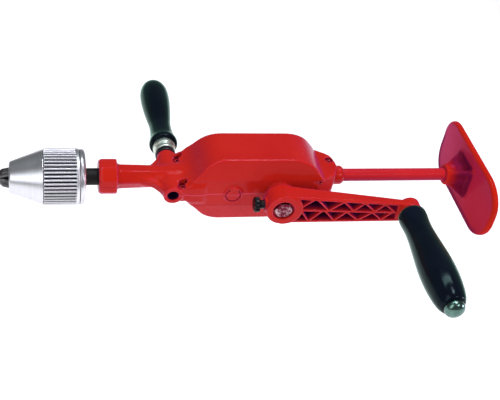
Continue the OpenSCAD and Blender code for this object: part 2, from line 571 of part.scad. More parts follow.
// ---------- tube and breast plate ----------
socket_x = plate_x - 22.6;
plate_t = 5;
module breast_tube() color(RED) rig() difference() {
    rod_x(tube_r, 36.1, plate_x - 5.4, 64);
    rod_x(tube_r - 1.5, 35, plate_x - 4, 64);
    translate([43, 0, 0]) rod_z(1.5 + seat, -9, 9);
    translate([socket_x + 6, 0, 0]) rod_z(1.5 + seat, -9, 9);
}
module tube_pin() color(STEEL) rig() translate([43, 0, 0]) rod_z(1.5, -6.5, 6.5, 24);
function round_rect(l, w, c, n = 8) = [for (q = [[1, 1, 0], [-1, 1, 90], [-1, -1, 180], [1, -1, 270]]) for (i = [0:n])
    let (a = q[2] + 90*i/n) [q[0]*(l - c) + c*cos(a), q[1]*(w - c) + c*sin(a)]];
// the plate is bent about Y, its long edges forward
module breast_plate() color(RED) rig() difference() {
    union() {
        intersection() {
            translate([0, plate_y, 0]) end_slab(round_rect(plate_l, plate_w, plate_c), plate_x - 15, plate_x + 1);
            translate([plate_x - plate_bend, 0, 0]) difference() {
                rod_y(plate_bend, -70, 70, 360);
                rod_y(plate_bend - plate_t, -80, 80, 360);
            }
        }
        about_x([[socket_x, 0], [socket_x, 7.6], [socket_x + 0.8, 8.4], [plate_x - plate_t, 8.4], [plate_x - plate_t, 0]]);
        // four webs between the socket and the plate
        for (a = [45, 135]) rotate([a, 0, 0]) side_slab([[socket_x + 3, 8], [plate_x - plate_t - 1.2, 20], [plate_x - plate_t + 0.8, 20], [plate_x - plate_t + 0.8, -20],
            [plate_x - plate_t - 1.2, -20], [socket_x + 3, -8]], -1.1, 1.1);
    }
    rod_x(tube_r + seat, socket_x - 1, plate_x - 5.3, 64);
    translate([socket_x + 6, 0, 0]) rod_z(1.5 + seat, -12, 12);
}
module plate_pin() color(STEEL) rig() translate([socket_x + 6, 0, 0]) rod_z(1.5, -8.1, 8.1, 24);

upper_shell();
lower_shell();
shell_screws();
front_bush();
neck_bush();
rear_bush();
thrust_race_fixed();
thrust_balls();
thrust_cage();
thrust_race_turning();
spindle();
pinion_washer();
bevel_pinion();
pinion_pin();
chuck_body();
chuck_sleeve();
chuck_ring_nut();
jaw_a();
jaw_b();
jaw_c();
idler_pin();
bevel_gear();
spur_pinion();
idler_washers();
crank_shaft();
crank_bush_near();
crank_bush_far();
crank_gear();
crank_gear_pin();
crank_circlip();
crank_arm();
thumb_knob();
thumb_stud();
crank_axle();
crank_grip();
axle_cap();
handle_nuts();
side_stud();
side_lock_ring();
side_ferrule();
side_grip();
breast_tube();
tube_pin();
breast_plate();
plate_pin();
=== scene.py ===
import math

import bpy
import numpy as np
from mathutils import Matrix, Vector


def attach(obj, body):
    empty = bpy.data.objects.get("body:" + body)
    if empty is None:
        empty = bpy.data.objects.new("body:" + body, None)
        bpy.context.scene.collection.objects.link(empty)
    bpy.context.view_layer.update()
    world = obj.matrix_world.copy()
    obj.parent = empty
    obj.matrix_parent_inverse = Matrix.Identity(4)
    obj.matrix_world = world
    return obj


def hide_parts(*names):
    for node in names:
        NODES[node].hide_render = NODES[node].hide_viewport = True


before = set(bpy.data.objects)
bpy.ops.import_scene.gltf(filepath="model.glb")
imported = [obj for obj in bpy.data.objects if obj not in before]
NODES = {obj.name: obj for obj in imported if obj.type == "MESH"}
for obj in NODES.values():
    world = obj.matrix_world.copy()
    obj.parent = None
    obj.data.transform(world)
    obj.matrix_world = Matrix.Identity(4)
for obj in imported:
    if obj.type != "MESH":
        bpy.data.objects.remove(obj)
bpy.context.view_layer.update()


# ---------- material helpers ----------
def lin(r, g, b):
    out = []
    for v in (r, g, b):
        v = v / 255
        out.append(v / 12.92 if v <= 0.04045 else ((v + 0.055) / 1.055) ** 2.4)
    return (*out, 1)


class Mat:
    """A small builder for one node material."""

    def __init__(self, name, color, rough, metallic=0.0, coat=0.0, coat_rough=0.08, spec=0.5, tint=None):
        self.m = bpy.data.materials.new(name)
        self.m.use_nodes = True
        self.t = self.m.node_tree
        self.t.nodes.clear()
        self.out = self.t.nodes.new("ShaderNodeOutputMaterial")
        self.bsdf = self.t.nodes.new("ShaderNodeBsdfPrincipled")
        self.t.links.new(self.bsdf.outputs[0], self.out.inputs[0])
        self.bsdf.inputs["Base Color"].default_value = color
        self.bsdf.inputs["Roughness"].default_value = rough
        self.bsdf.inputs["Metallic"].default_value = metallic
        self.bsdf.inputs["Coat Weight"].default_value = coat
        self.bsdf.inputs["Coat Roughness"].default_value = coat_rough
        self.bsdf.inputs["Specular IOR Level"].default_value = spec
        if tint:
            self.bsdf.inputs["Specular Tint"].default_value = tint
        self.m.diffuse_color = color
        self.co = self.t.nodes.new("ShaderNodeTexCoord").outputs["Object"]

    def link(self, a, b):
        self.t.links.new(a, b)

    def mapping(self, scale=(1, 1, 1), rot=(0, 0, 0), loc=(0, 0, 0), src=None):
        n = self.t.nodes.new("ShaderNodeMapping")
        n.inputs["Scale"].default_value = scale
        n.inputs["Rotation"].default_value = rot
        n.inputs["Location"].default_value = loc
        self.link(src or self.co, n.inputs["Vector"])
        return n.outputs[0]

    def noise(self, scale, detail=3.0, rough=0.5, vec=None, distort=0.0):
        n = self.t.nodes.new("ShaderNodeTexNoise")
        n.inputs["Scale"].default_value = scale
        n.inputs["Detail"].default_value = detail
        n.inputs["Roughness"].default_value = rough
        n.inputs["Distortion"].default_value = distort
        self.link(vec or self.co, n.inputs["Vector"])
        return n.outputs["Fac"]

    def ramp(self, src, stops):
        n = self.t.nodes.new("ShaderNodeValToRGB")
        e = n.color_ramp.elements
        while len(e) < len(stops):
            e.new(0.5)
        for k, (p, c) in enumerate(stops):
            e[k].position = p
            e[k].color = c if hasattr(c, "__len__") else (c, c, c, 1)
        self.link(src, n.inputs["Fac"])
        return n.outputs["Color"]

    def mix(self, fac, a, b, mode="MIX"):
        n = self.t.nodes.new("ShaderNodeMix")
        n.data_type = "RGBA"
        n.blend_type = mode
        for socket, v in ((n.inputs["Factor"], fac), (n.inputs["A"], a), (n.inputs["B"], b)):
            if isinstance(v, bpy.types.NodeSocket):
                self.link(v, socket)
            else:
                socket.default_value = v
        return n.outputs["Result"]

    def math(self, op, a, b=0.0, c=None, clamp=False):
        n = self.t.nodes.new("ShaderNodeMath")
        n.operation = op
        n.use_clamp = clamp
        for socket, v in zip(n.inputs, (a, b) if c is None else (a, b, c)):
            if isinstance(v, bpy.types.NodeSocket):
                self.link(v, socket)
            else:
                socket.default_value = v
        return n.outputs[0]

    def edges(self, lo=0.5, hi=0.62):
        """White along convex edges, or along hollows where lo is above hi."""
        g = self.t.nodes.new("ShaderNodeNewGeometry")
        stops = [(lo, 0.0), (hi, 1.0)] if lo < hi else [(hi, 1.0), (lo, 0.0)]
        return self.ramp(g.outputs["Pointiness"], stops)

    def bump(self, height, strength=0.2, distance=0.0005, normal=None):
        n = self.t.nodes.new("ShaderNodeBump")
        n.inputs["Strength"].default_value = strength
        n.inputs["Distance"].default_value = distance
        self.link(height, n.inputs["Height"])
        if normal is not None:
            self.link(normal, n.inputs["Normal"])
        return n.outputs[0]

    def set(self, **kw):
        for k, v in kw.items():
            self.link(v, self.bsdf.inputs[k.replace("_", " ")])
        return self.m


def ramp_up(m, value, a, b):
    """0 below a, 1 above b."""
    return m.math("MULTIPLY", m.math("SUBTRACT", value, a), 1 / (b - a), clamp=True)


def red_paint(name="red_enamel", spec=0.03, coat=0.08, kind="", sheen=0.22, sheen_tint=(0.45, 0.04, 0.9, 1),
              sheen_rough=0.4):
    m = Mat(name, lin(178, 26, 10), 0.3, coat=coat, coat_rough=0.08, spec=spec, tint=(1.0, 0.12, 0.85, 1))
    m.bsdf.inputs["Sheen Weight"].default_value = sheen
    m.bsdf.inputs["Sheen Roughness"].default_value = sheen_rough
    m.bsdf.inputs["Sheen Tint"].default_value = sheen_tint
    broad = m.noise(28, 2)
    fine = m.noise(420, 4, 0.6)
    c = m.mix(m.ramp(broad, [(0.3, 0.0), (0.7, 1.0)]), lin(172, 27, 12), lin(181, 34, 16))
    c = m.mix(m.math("MULTIPLY", m.ramp(fine, [(0.62, 0.0), (0.74, 1.0)]), 0.2), c, lin(144, 12, 16))
    # painted highlight: pink along the convex edges, except on the tube
    if kind != "tube":
        c = m.mix(m.math("MULTIPLY", m.edges(0.515, 0.59), 0.5), c, lin(216, 62, 96))
    # painted shade: dark maroon in the hollows
    c = m.mix(m.math("MULTIPLY", m.edges(0.485, 0.4), 0.6), c, lin(104, 8, 30))
    n = m.t.nodes.new("ShaderNodeSeparateXYZ")
    m.link(m.co, n.inputs[0])
    px, py, pz = n.outputs[0], n.outputs[1], n.outputs[2]

    def away(u, v, u0, v0):
        du, dv = m.math("SUBTRACT", u, u0), m.math("SUBTRACT", v, v0)
        return m.math("SQRT", m.math("ADD", m.math("MULTIPLY", du, du), m.math("MULTIPLY", dv, dv)))

    def within(limit, value, soft=0.0004):
        """1 where value is below limit."""
        return ramp_up(m, m.math("SUBTRACT", limit, value), 0.0, soft)

    if kind == "arm":
        # painted shade in the cast pockets between the ribs of the crank arm, darker towards their floor
        x = m.math("SUBTRACT", px, 0.199)
        z = m.math("ABSOLUTE", pz)
        depth = m.math("ADD", m.math("ADD", py, 0.0413), m.math("MULTIPLY", x, 0.055))
        inside = within(m.math("SUBTRACT", 0.0113, m.math("MULTIPLY", x, 0.0447)), z, 0.0003)
        inside = m.math("MULTIPLY", inside, ramp_up(m, away(x, pz, 0.0, 0.0), 0.0146, 0.0149))
        inside = m.math("MULTIPLY", inside, within(0.0888, x, 0.0003))
        inside = m.math("MULTIPLY", inside, within(m.math("SUBTRACT", 0.0132, m.math("MULTIPLY", x, 0.087)), depth))
        pocket_shade = m.math("MULTIPLY", inside, ramp_up(m, depth, 0.0006, 0.0095))
        c = m.mix(ramp_up(m, pocket_shade, 0.0, 0.45), c, lin(104, 14, 48))
        c = m.mix(ramp_up(m, pocket_shade, 0.35, 1.0), c, lin(20, 6, 36))
    if kind == "shell":
        # painted shade in the side handle holes and the screw recesses
        bore_shade = m.math("MULTIPLY", within(0.0047, away(px, pz, 0.118, 0.0)), within(0.0229, m.math("ABSOLUTE", py), 0.0012))
        c = m.mix(bore_shade, c, lin(22, 6, 30))
        side = m.math("ABSOLUTE", py)
        recess = m.math("MULTIPLY", within(0.0033, away(px, side, 0.1257, 0.0156)), within(0.0044, pz, 0.0016))
        far = m.math("MULTIPLY", within(0.0033, away(px, py, 0.2453, 0.0084)), within(0.0089, pz, 0.0016))
        c = m.mix(m.math("MAXIMUM", recess, far), c, lin(84, 4, 34))
        # painted highlight along the parting line of the two shells; painted shade along the fold below it, and
        # fainter along the fold above it
        wide = m.math("MULTIPLY", ramp_up(m, side, 0.0205, 0.0215), within(0.2485, px, 0.002))
        parting_highlight = m.math("MULTIPLY", wide, within(0.0005, m.math("ABSOLUTE", pz), 0.0003))
        c = m.mix(m.math("MULTIPLY", parting_highlight, 0.75), c, lin(228, 92, 118))
        fold_shade = m.math("MULTIPLY", wide, within(0.0006, m.math("ABSOLUTE", m.math("ADD", pz, 0.0118)), 0.0005))
        c = m.mix(m.math("MULTIPLY", fold_shade, 0.7), c, lin(112, 10, 44))
        fold_shade = m.math("MULTIPLY", wide, within(0.0005, m.math("ABSOLUTE", m.math("SUBTRACT", pz, 0.0118)), 0.0005))
        c = m.mix(m.math("MULTIPLY", fold_shade, 0.35), c, lin(140, 12, 50))
    if kind == "plate":
        # painted shade between the webs of the socket
        ay, az = m.math("ABSOLUTE", py), m.math("ABSOLUTE", pz)
        # distance to the rolled edge of the plate; painted shade along its lower side
        qy = m.math("SUBTRACT", m.math("ABSOLUTE", m.math("ADD", py, 0.0035)), 0.0324)
        qz = m.math("SUBTRACT", az, 0.0049)
        inner = m.math("MINIMUM", m.math("MAXIMUM", qy, qz), 0.0)
        edge = m.math("ADD", away(m.math("MAXIMUM", qy, 0.0), m.math("MAXIMUM", qz, 0.0), 0.0, 0.0), inner)
        # painted reflection: the side towards the drill tinted magenta, pinker towards +y
        face = m.math("MULTIPLY", m.math("MULTIPLY", within(0.3622, px, 0.0004), ramp_up(m, px, 0.3505, 0.3525)), within(0.0205, edge, 0.0008))
        face_reflection = m.mix(ramp_up(m, m.math("SUBTRACT", py, m.math("MULTIPLY", pz, 0.6)), -0.02, 0.045), lin(180, 32, 52), lin(190, 66, 104))
        c = m.mix(m.math("MULTIPLY", face, 0.85), c, face_reflection)
        # painted shade between the webs, towards their root
        web_shade = m.math("MULTIPLY", within(0.0152, m.math("MAXIMUM", ay, az), 0.0016), ramp_up(m, px, 0.344, 0.352))
        web_shade = m.math("MULTIPLY", web_shade, within(0.3622, px, 0.0004))
        c = m.mix(m.math("MULTIPLY", web_shade, 0.74), c, lin(92, 6, 50))
        # painted shade along the lower part of the rolled edge
        low = ramp_up(m, m.math("SUBTRACT", m.math("MULTIPLY", py, 0.3), pz), 0.002, 0.012)
        rim = m.math("MULTIPLY", ramp_up(m, edge, 0.0158, 0.0178), low)
        c = m.mix(m.math("MULTIPLY", rim, 0.66), c, lin(92, 8, 58))
    if kind == "tube":
        # painted shade along the under side
        c = m.mix(m.math("MULTIPLY", ramp_up(m, m.math("SUBTRACT", m.math("MULTIPLY", py, -0.6), pz), 0.0008, 0.0042), 0.7), c, lin(128, 12, 52))
        c = m.mix(0.15, c, lin(196, 44, 84))
    if kind == "screw":
        # painted shade in the cross recess of each head
        front = m.math("MULTIPLY", within(0.002, away(px, m.math("ABSOLUTE", py), 0.1257, 0.0156)), within(0.0022, pz, 0.0003))
        rear = m.math("MULTIPLY", within(0.002, away(px, py, 0.2453, 0.0084)), within(0.0068, pz, 0.0003))
        c = m.mix(m.math("MAXIMUM", front, rear), c, lin(26, 2, 28))
    r = m.ramp(m.noise(160, 3), [(0.3, 0.22), (0.7, 0.34)])
    peel = m.noise(330, 2, 0.4)
    b = m.bump(peel, 0.1, 0.0003, m.bump(m.noise(70, 2), 0.1, 0.001))
    return m.set(Base_Color=c, Roughness=r, Normal=b)


def black_lacquer():
    m = Mat("black_lacquer", lin(6, 8, 17), 0.14, coat=0.02, coat_rough=0.12, spec=0.11, tint=(0.5, 0.9, 0.8, 1))
    m.bsdf.inputs["Sheen Weight"].default_value = 0.75
    m.bsdf.inputs["Sheen Roughness"].default_value = 0.3
    m.bsdf.inputs["Sheen Tint"].default_value = (0.06, 0.62, 0.36, 1)
    c = m.mix(m.ramp(m.noise(35, 3), [(0.35, 0.0), (0.7, 1.0)]), lin(8, 10, 21), lin(13, 16, 30))
    c = m.mix(m.math("MULTIPLY", m.edges(0.55, 0.7), 0.4), c, lin(48, 54, 52))
    r = m.ramp(m.noise(240, 4, 0.6), [(0.35, 0.1), (0.7, 0.2)])
    b = m.bump(m.noise(110, 2), 0.08, 0.0006)
    return m.set(Base_Color=c, Roughness=r, Normal=b)


def black_plastic():
    m = Mat("black_plastic", lin(8, 9, 13), 0.36, spec=0.18)
    c = m.mix(m.ramp(m.noise(90, 3), [(0.35, 0.0), (0.7, 1.0)]), lin(5, 6, 10), lin(11, 12, 16))
    c = m.mix(m.math("MULTIPLY", m.edges(0.54, 0.68), 0.4), c, lin(50, 54, 58))
    r = m.ramp(m.noise(500, 3), [(0.3, 0.28), (0.7, 0.44)])
    return m.set(Base_Color=c, Roughness=r, Normal=m.bump(m.noise(1400, 2), 0.15, 0.0002))


def turned(name, color, dark, rough, axis, metallic=1.0, lines=2600, strength=0.12, hollow_shade=0.0, groove=None, reflection_mottle=None):
    """Metal turned on a lathe about an axis: fine lines round it."""
    m = Mat(name, color, rough, metallic=metallic)
    s = [6.0, 6.0, 6.0]
    s[axis] = lines
    grain = m.noise(1.0, 4, 0.65, m.mapping(s))
    c = m.mix(m.ramp(grain, [(0.3, 0.0), (0.7, 1.0)]), dark, color)
    c = m.mix(m.math("MULTIPLY", m.ramp(m.noise(45, 4), [(0.55, 0.0), (0.8, 1.0)]), 0.3), c, dark)
    # painted shade in the hollows
    if hollow_shade:
        c = m.mix(m.math("MULTIPLY", m.edges(0.49, 0.4), hollow_shade), c, lin(38, 38, 38))
    if reflection_mottle:
        # painted reflection of the nearby red paint, in blotches
        c = m.mix(m.ramp(m.noise(230, 5, 0.65), [(0.4, 0.0), (0.56, 1.0)]), c, reflection_mottle)
    if groove:
        # painted shade in the grooves between the ribs, by distance from the spindle axis
        n = m.t.nodes.new("ShaderNodeSeparateXYZ")
        m.link(m.co, n.inputs[0])
        y, z = n.outputs[1], n.outputs[2]
        d = m.math("SQRT", m.math("ADD", m.math("MULTIPLY", y, y), m.math("MULTIPLY", z, z)))
        c = m.mix(m.math("MULTIPLY", ramp_up(m, m.math("SUBTRACT", groove[0], d), 0.0, groove[1]), 0.92), c, lin(34, 34, 36))
    r = m.math("ADD", m.math("MULTIPLY", m.noise(60, 3), 0.16), rough - 0.06)
    b = m.bump(grain, strength, 0.0002)
    return m.set(Base_Color=c, Roughness=r, Normal=b)


def oxide(name, color, light, rough, metallic=0.9, spec=0.5, rub=150):
    """Blackened steel with rubbed edges."""
    m = Mat(name, color, rough, metallic=metallic, spec=spec)
    c = m.mix(m.ramp(m.noise(120, 4), [(0.35, 0.0), (0.7, 1.0)]), color, light)
    c = m.mix(m.math("MULTIPLY", m.edges(0.53, 0.65), 0.6), c, lin(rub, rub, rub))
    r = m.ramp(m.noise(300, 4, 0.6), [(0.3, rough - 0.08), (0.7, rough + 0.1)])
    return m.set(Base_Color=c, Roughness=r, Normal=m.bump(m.noise(900, 3), 0.12, 0.0002))


MATS = {
    "red_paint": red_paint(),
    "steel": turned("steel", lin(158, 146, 152), lin(122, 108, 116), 0.3, 0),
    "dark_steel": oxide("dark_steel", lin(40, 40, 42), lin(66, 66, 68), 0.36),
    "black_steel": oxide("black_steel", lin(13, 13, 12), lin(22, 21, 20), 0.5, 0.0, 0.15, 40),
    "chuck_metal": turned("chuck_metal", lin(234, 236, 239), lin(208, 210, 213), 0.27, 0, hollow_shade=0.75),
    "nickel": turned("nickel", lin(236, 250, 238), lin(206, 222, 208), 0.34, 1),
    "bronze": turned("bronze", lin(176, 138, 74), lin(140, 102, 52), 0.34, 0),
    "brass": turned("brass", lin(201, 166, 76), lin(164, 128, 54), 0.3, 1),
    "black_lacquer": black_lacquer(),
    "black_plastic": black_plastic(),
}
CAP_CHROME = turned("cap_chrome", lin(112, 146, 134), lin(66, 96, 88), 0.2, 1)
# pink tint and red blotches: painted reflection of the red paint around the shaft end
SHAFT_STEEL = turned("shaft_steel", lin(188, 158, 162), lin(120, 84, 92), 0.26, 1, reflection_mottle=lin(96, 22, 42))
PLATE_PAINT = red_paint("red_enamel_plate", 0.0, 0.05, "plate", 0.3, (0.42, 0.1, 0.85, 1), 0.34)
RIB_METAL = turned("rib_metal", lin(236, 238, 241), lin(212, 214, 217), 0.36, 0, groove=(0.0208, 0.0009))
ARM_PAINT = red_paint("red_enamel_arm", 0.06, 0.14, "arm")
SHELL_PAINT = red_paint("red_enamel_shell", 0.07, 0.17, "shell")
SCREW_PAINT = red_paint("red_enamel_screws", 0.07, 0.17, "screw")

SLOT_OF = {
    "red_paint": "upper_shell lower_shell crank_arm breast_tube breast_plate shell_screws",
    "bronze": "front_bush neck_bush rear_bush crank_bush_near crank_bush_far",
    "brass": "thrust_cage idler_washers",
    "dark_steel": "pinion_pin crank_gear_pin crank_circlip handle_nuts side_lock_ring jaw_a jaw_b jaw_c",
    "black_steel": "spindle",
    "chuck_metal": "chuck_body chuck_sleeve",
    "black_lacquer": "crank_grip side_grip",
    "black_plastic": "thumb_knob",
    "nickel": "side_ferrule axle_cap",
}
NODE_SLOT = {n: s for s, names in SLOT_OF.items() for n in names.split()}
TUBE_PAINT = red_paint("red_enamel_tube", 0.03, 0.06, "tube", 0.3, (0.4, 0.04, 0.8, 1))
NODE_MAT = {"breast_tube": TUBE_PAINT, "plate_pin": PLATE_PAINT}

for name, obj in NODES.items():
    slot = NODE_SLOT.get(name, "steel")
    obj.data.materials.clear()
    obj.data.materials.append(NODE_MAT.get(name, MATS[slot]))


# ---------- castings as distance fields ----------
# Lengths in millimetres, x counted from the crank axis; to_row() gives metres in the row frame.
CRANK_X = 199.0
F = np.float32


def to_row(p):
    return (np.asarray(p, float) + (CRANK_X, 0, 0)) / 1000


def smin(a, b, k):
    h = np.maximum(k - np.abs(a - b), 0) / k
    return np.minimum(a, b) - h * h * k * F(0.25)


def smax(a, b, k):
    h = np.maximum(k - np.abs(a - b), 0) / k
    return np.maximum(a, b) + h * h * k * F(0.25)


def cut(a, b, k=0.4):
    return smax(a, -b, k)


def blend(pts, d, n=6):
    """Closed outline with each corner rounded over the distance d."""
    pts = [np.array(p, float) for p in pts]
    m, out = len(pts), []
    for i in range(m):
        b, a, c = pts[i], pts[i - 1], pts[(i + 1) % m]
        la, lc = np.linalg.norm(a - b), np.linalg.norm(c - b)
        dd = min(d, la / 2.05, lc / 2.05)
        p, q = b + (a - b) * dd / la, b + (c - b) * dd / lc
        for k in range(n + 1):
            t = k / n
            out.append(p * (1 - t) ** 2 + b * 2 * t * (1 - t) + q * t * t)
    return out


def poly(u, v, pts):
    """Signed distance to a closed outline."""
    u, v = np.asarray(u, F), np.asarray(v, F)
    d = np.full(np.broadcast(u, v).shape, 1e9, F)
    inside = np.zeros(d.shape, bool)
    pts = [(float(p[0]), float(p[1])) for p in pts]
    for (ax, ay), (bx, by) in zip(pts, pts[-1:] + pts[:-1]):
        ex, ey = bx - ax, by - ay
        q = 1 / (ex * ex + ey * ey + 1e-12)
        t = (u * F(ex * q) - F(ax * ex * q)) + (v * F(ey * q) - F(ay * ey * q))
        np.maximum(t, 0, out=t)
        np.minimum(t, 1, out=t)
        dx, dy = (u - F(ax)) - F(ex) * t, (v - F(ay)) - F(ey) * t
        dx *= dx
        dy *= dy
        dx += dy
        np.minimum(d, dx, out=d)
        if ay != by:
            low, high = min(ay, by), max(ay, by)
            hit = (v >= low) & (v < high)
            inside ^= hit & (u < F(ax) + (v - F(ay)) * F(ex / ey))
    np.sqrt(d, out=d)
    return np.where(inside, -d, d)


def band(x, a, b):
    return np.abs(x - F((a + b) / 2)) - F((b - a) / 2)


def cyl(u, v, w, r, a, b, k=0.4):
    """Cylinder of radius r about the third coordinate, from a to b along it."""
    return smax(np.hypot(u, v) - F(r), band(w, a, b), k)


def spin(w, rad, profile):
    """Solid of revolution, profile as (along, radius) from the axis out and back to it."""
    return poly(w, rad, profile)


def sample(f, g, step=4):
    """Values of f on the grid lines g, worked out in full only near the surface."""
    idx = [np.unique(np.append(np.arange(0, len(a), step), len(a) - 1)) for a in g]
    c = [a[i] for a, i in zip(g, idx)]
    val = np.array(np.broadcast_to(f(c[0][:, None, None], c[1][None, :, None], c[2][None, None, :]), tuple(len(i) for i in idx)), F)
    corner = [val[tuple(slice(o, len(i) - 1 + o) for o, i in zip(off, idx))] for off in np.ndindex(2, 2, 2)]
    size = [np.diff(a) for a in c]
    diag = np.sqrt(size[0][:, None, None] ** 2 + size[1][None, :, None] ** 2 + size[2][None, None, :] ** 2)
    near = np.min(np.abs(corner), axis=0) < diag * F(0.75) + F(0.6)
    after = [np.clip(np.searchsorted(i, np.arange(len(a)), side="right") - 1, 0, len(i) - 2) for a, i in zip(g, idx)]
    before = [np.clip(np.searchsorted(i, np.arange(len(a)), side="left") - 1, 0, len(i) - 2) for a, i in zip(g, idx)]
    out = val[np.ix_(*after)]
    mask = np.zeros(out.shape, bool)
    for off in np.ndindex(2, 2, 2):
        mask |= near[np.ix_(*[(before, after)[o][k] for k, o in enumerate(off)])]
    i, j, k = np.nonzero(mask)
    out[i, j, k] = f(g[0][i], g[1][j], g[2][k])
    return out


def field_mesh(name, f, xs, ys, zs, fix=2):
    """Closed mesh of the surface f = 0 on a grid with its own step along each axis."""
    g = [np.asarray(a, F) for a in (xs, ys, zs)]
    val = sample(f, g)
    val = np.where(np.abs(val) < 1e-6, F(1e-6), val)
    neg = val < 0
    cells = tuple(len(a) - 1 for a in g)
    ids, pos, quads, flips = [], [], [], []
    for ax in range(3):
        lo = [slice(None)] * 3
        hi = [slice(None)] * 3
        lo[ax], hi[ax] = slice(None, -1), slice(1, None)
        cross = neg[tuple(lo)] != neg[tuple(hi)]
        ijk = np.argwhere(cross)
        a, b = val[tuple(lo)][cross], val[tuple(hi)][cross]
        t = a / (a - b)
        p = np.stack([g[k][ijk[:, k]] for k in range(3)], 1).astype(float)
        step = np.diff(g[ax])[ijk[:, ax]]
        p[:, ax] += step * t
        o1, o2 = (ax + 1) % 3, (ax + 2) % 3
        around = []
        for d1, d2 in ((0, 0), (-1, 0), (-1, -1), (0, -1)):
            c = ijk.copy()
            c[:, o1] += d1
            c[:, o2] += d2
            around.append((c[:, 0] * cells[1] + c[:, 1]) * cells[2] + c[:, 2])
            ids.append(around[-1])
            pos.append(p)
        quads.append(np.stack(around, 1))
        flips.append(a < 0)
    ids, pos = np.concatenate(ids), np.concatenate(pos)
    quads, flips = np.concatenate(quads), np.concatenate(flips)
    used, back = np.unique(ids, return_inverse=True)
    count = np.bincount(back)
    v = np.stack([np.bincount(back, pos[:, k]) / count for k in range(3)], 1)
    quads = np.searchsorted(used, quads)
    quads[~flips] = quads[~flips][:, ::-1]
    e = F(0.02)
    start, limit = v.copy(), 0.45 * min(float(np.diff(a).min()) for a in g)

    for _ in range(fix):
        x, y, z = v.astype(F).T
        d = f(x, y, z)
        n = (np.stack([f(x + e, y, z) - d, f(x, y + e, z) - d, f(x, y, z + e) - d], 1) / e).astype(float)
        v = v - n * (d / np.maximum((n * n).sum(1), 0.25))[:, None] * 0.9
        off = v - start
        far = np.linalg.norm(off, axis=1)
        v = start + off * np.minimum(1, limit / np.maximum(far, 1e-9))[:, None]
    x, y, z = v.astype(F).T
    n = np.stack([f(x + e, y, z) - f(x - e, y, z), f(x, y + e, z) - f(x, y - e, z), f(x, y, z + e) - f(x, y, z - e)], 1).astype(float)
    n /= np.maximum(np.linalg.norm(n, axis=1), 1e-9)[:, None]
    me = bpy.data.meshes.new(name)
    me.vertices.add(len(v))
    me.vertices.foreach_set("co", to_row(v).astype(F).ravel())
    me.loops.add(quads.size)
    me.loops.foreach_set("vertex_index", quads.ravel().astype(np.int32))
    me.polygons.add(len(quads))
    me.polygons.foreach_set("loop_start", np.arange(0, quads.size, 4, dtype=np.int32))
    me.polygons.foreach_set("use_smooth", np.ones(len(quads), bool))
    me.update(calc_edges=True)
    me.validate()
    if len(me.vertices) == len(n):
        me.normals_split_custom_set_from_vertices([tuple(q) for q in n])
    return me


def add(name, me, body, slot, *stands_for, mat=None):
    o = bpy.data.objects.new(name, me)
    bpy.context.scene.collection.objects.link(o)
    if not me.materials:
        me.materials.append(mat or MATS[slot])
    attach(o, body)
    if stands_for:
        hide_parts(*stands_for)
    return o


def steps(*spans):
    """Grid lines: (from, to, step) spans, one after another."""
    out = [spans[0][0]]
    for a, b, s in spans:
        n = max(1, round((b - a) / s))
        out += [a + (b - a) * (i + 1) / n for i in range(n)]
    return np.array(out, F)


# ---------- housing ----------
HANDLE_X, IDLER_X = -81.0, -35.5
SHOULDER_H, REAR_H = 4.2, 8.8
SCREWS = [(-73.3, 15.6, 2.0, SHOULDER_H, -8.2), (-73.3, -15.6, 2.0, SHOULDER_H, -8.2), (46.3, 8.4, 6.6, REAR_H, -REAR_H)]
HEAD_R, SHANK_R = 2.9, 1.5


def house(x, ay, az, g=0.0, k=1.4):
    """Gear housing inset by g: walls from the section, top and slopes from the profile, ends from the plan.
    ay and az are distances from the two middle planes."""
    h, w, t = 28.585 - g, 21 - g, 17 - g
    te = t + (t - w) / (h - 12) * 4
    section = blend([(te, h + 4), (w, 12), (w + 0.8, 0), (w + 0.8, -20), (-20, -20), (-20, h + 4)], 0.9, 4)
    s = g * 0.42
    profile = blend([(-80 + g * 2, -20), (-80 + g * 2, 4), (-66.5 + g * 0.9, 10.8), (-52.5 + s, h), (21.5 - s, h), (40.5 - g * 1.4, 5),
                     (40.5 - g * 1.4, -20)], 13, 8)
    plan = blend([(-84 + g * 1.4, -20), (-84 + g * 1.4, 3.2), (-65.4 + g * 0.4, 23.5), (30.2 - g, 23.5), (44 - g, 15.2 - g), (44 - g, -20)], 4, 4)
    return smax(smax(poly(ay, az, section), poly(x, az, profile), k), poly(x, ay, plan), k)


def slab(x, ay, az, pts, d, h, k=2.0):
    pts = blend([(pts[0][0], -20)] + pts + [(pts[-1][0], -20)], d, 4)
    return smax(poly(x, ay, pts), az - F(h), k)


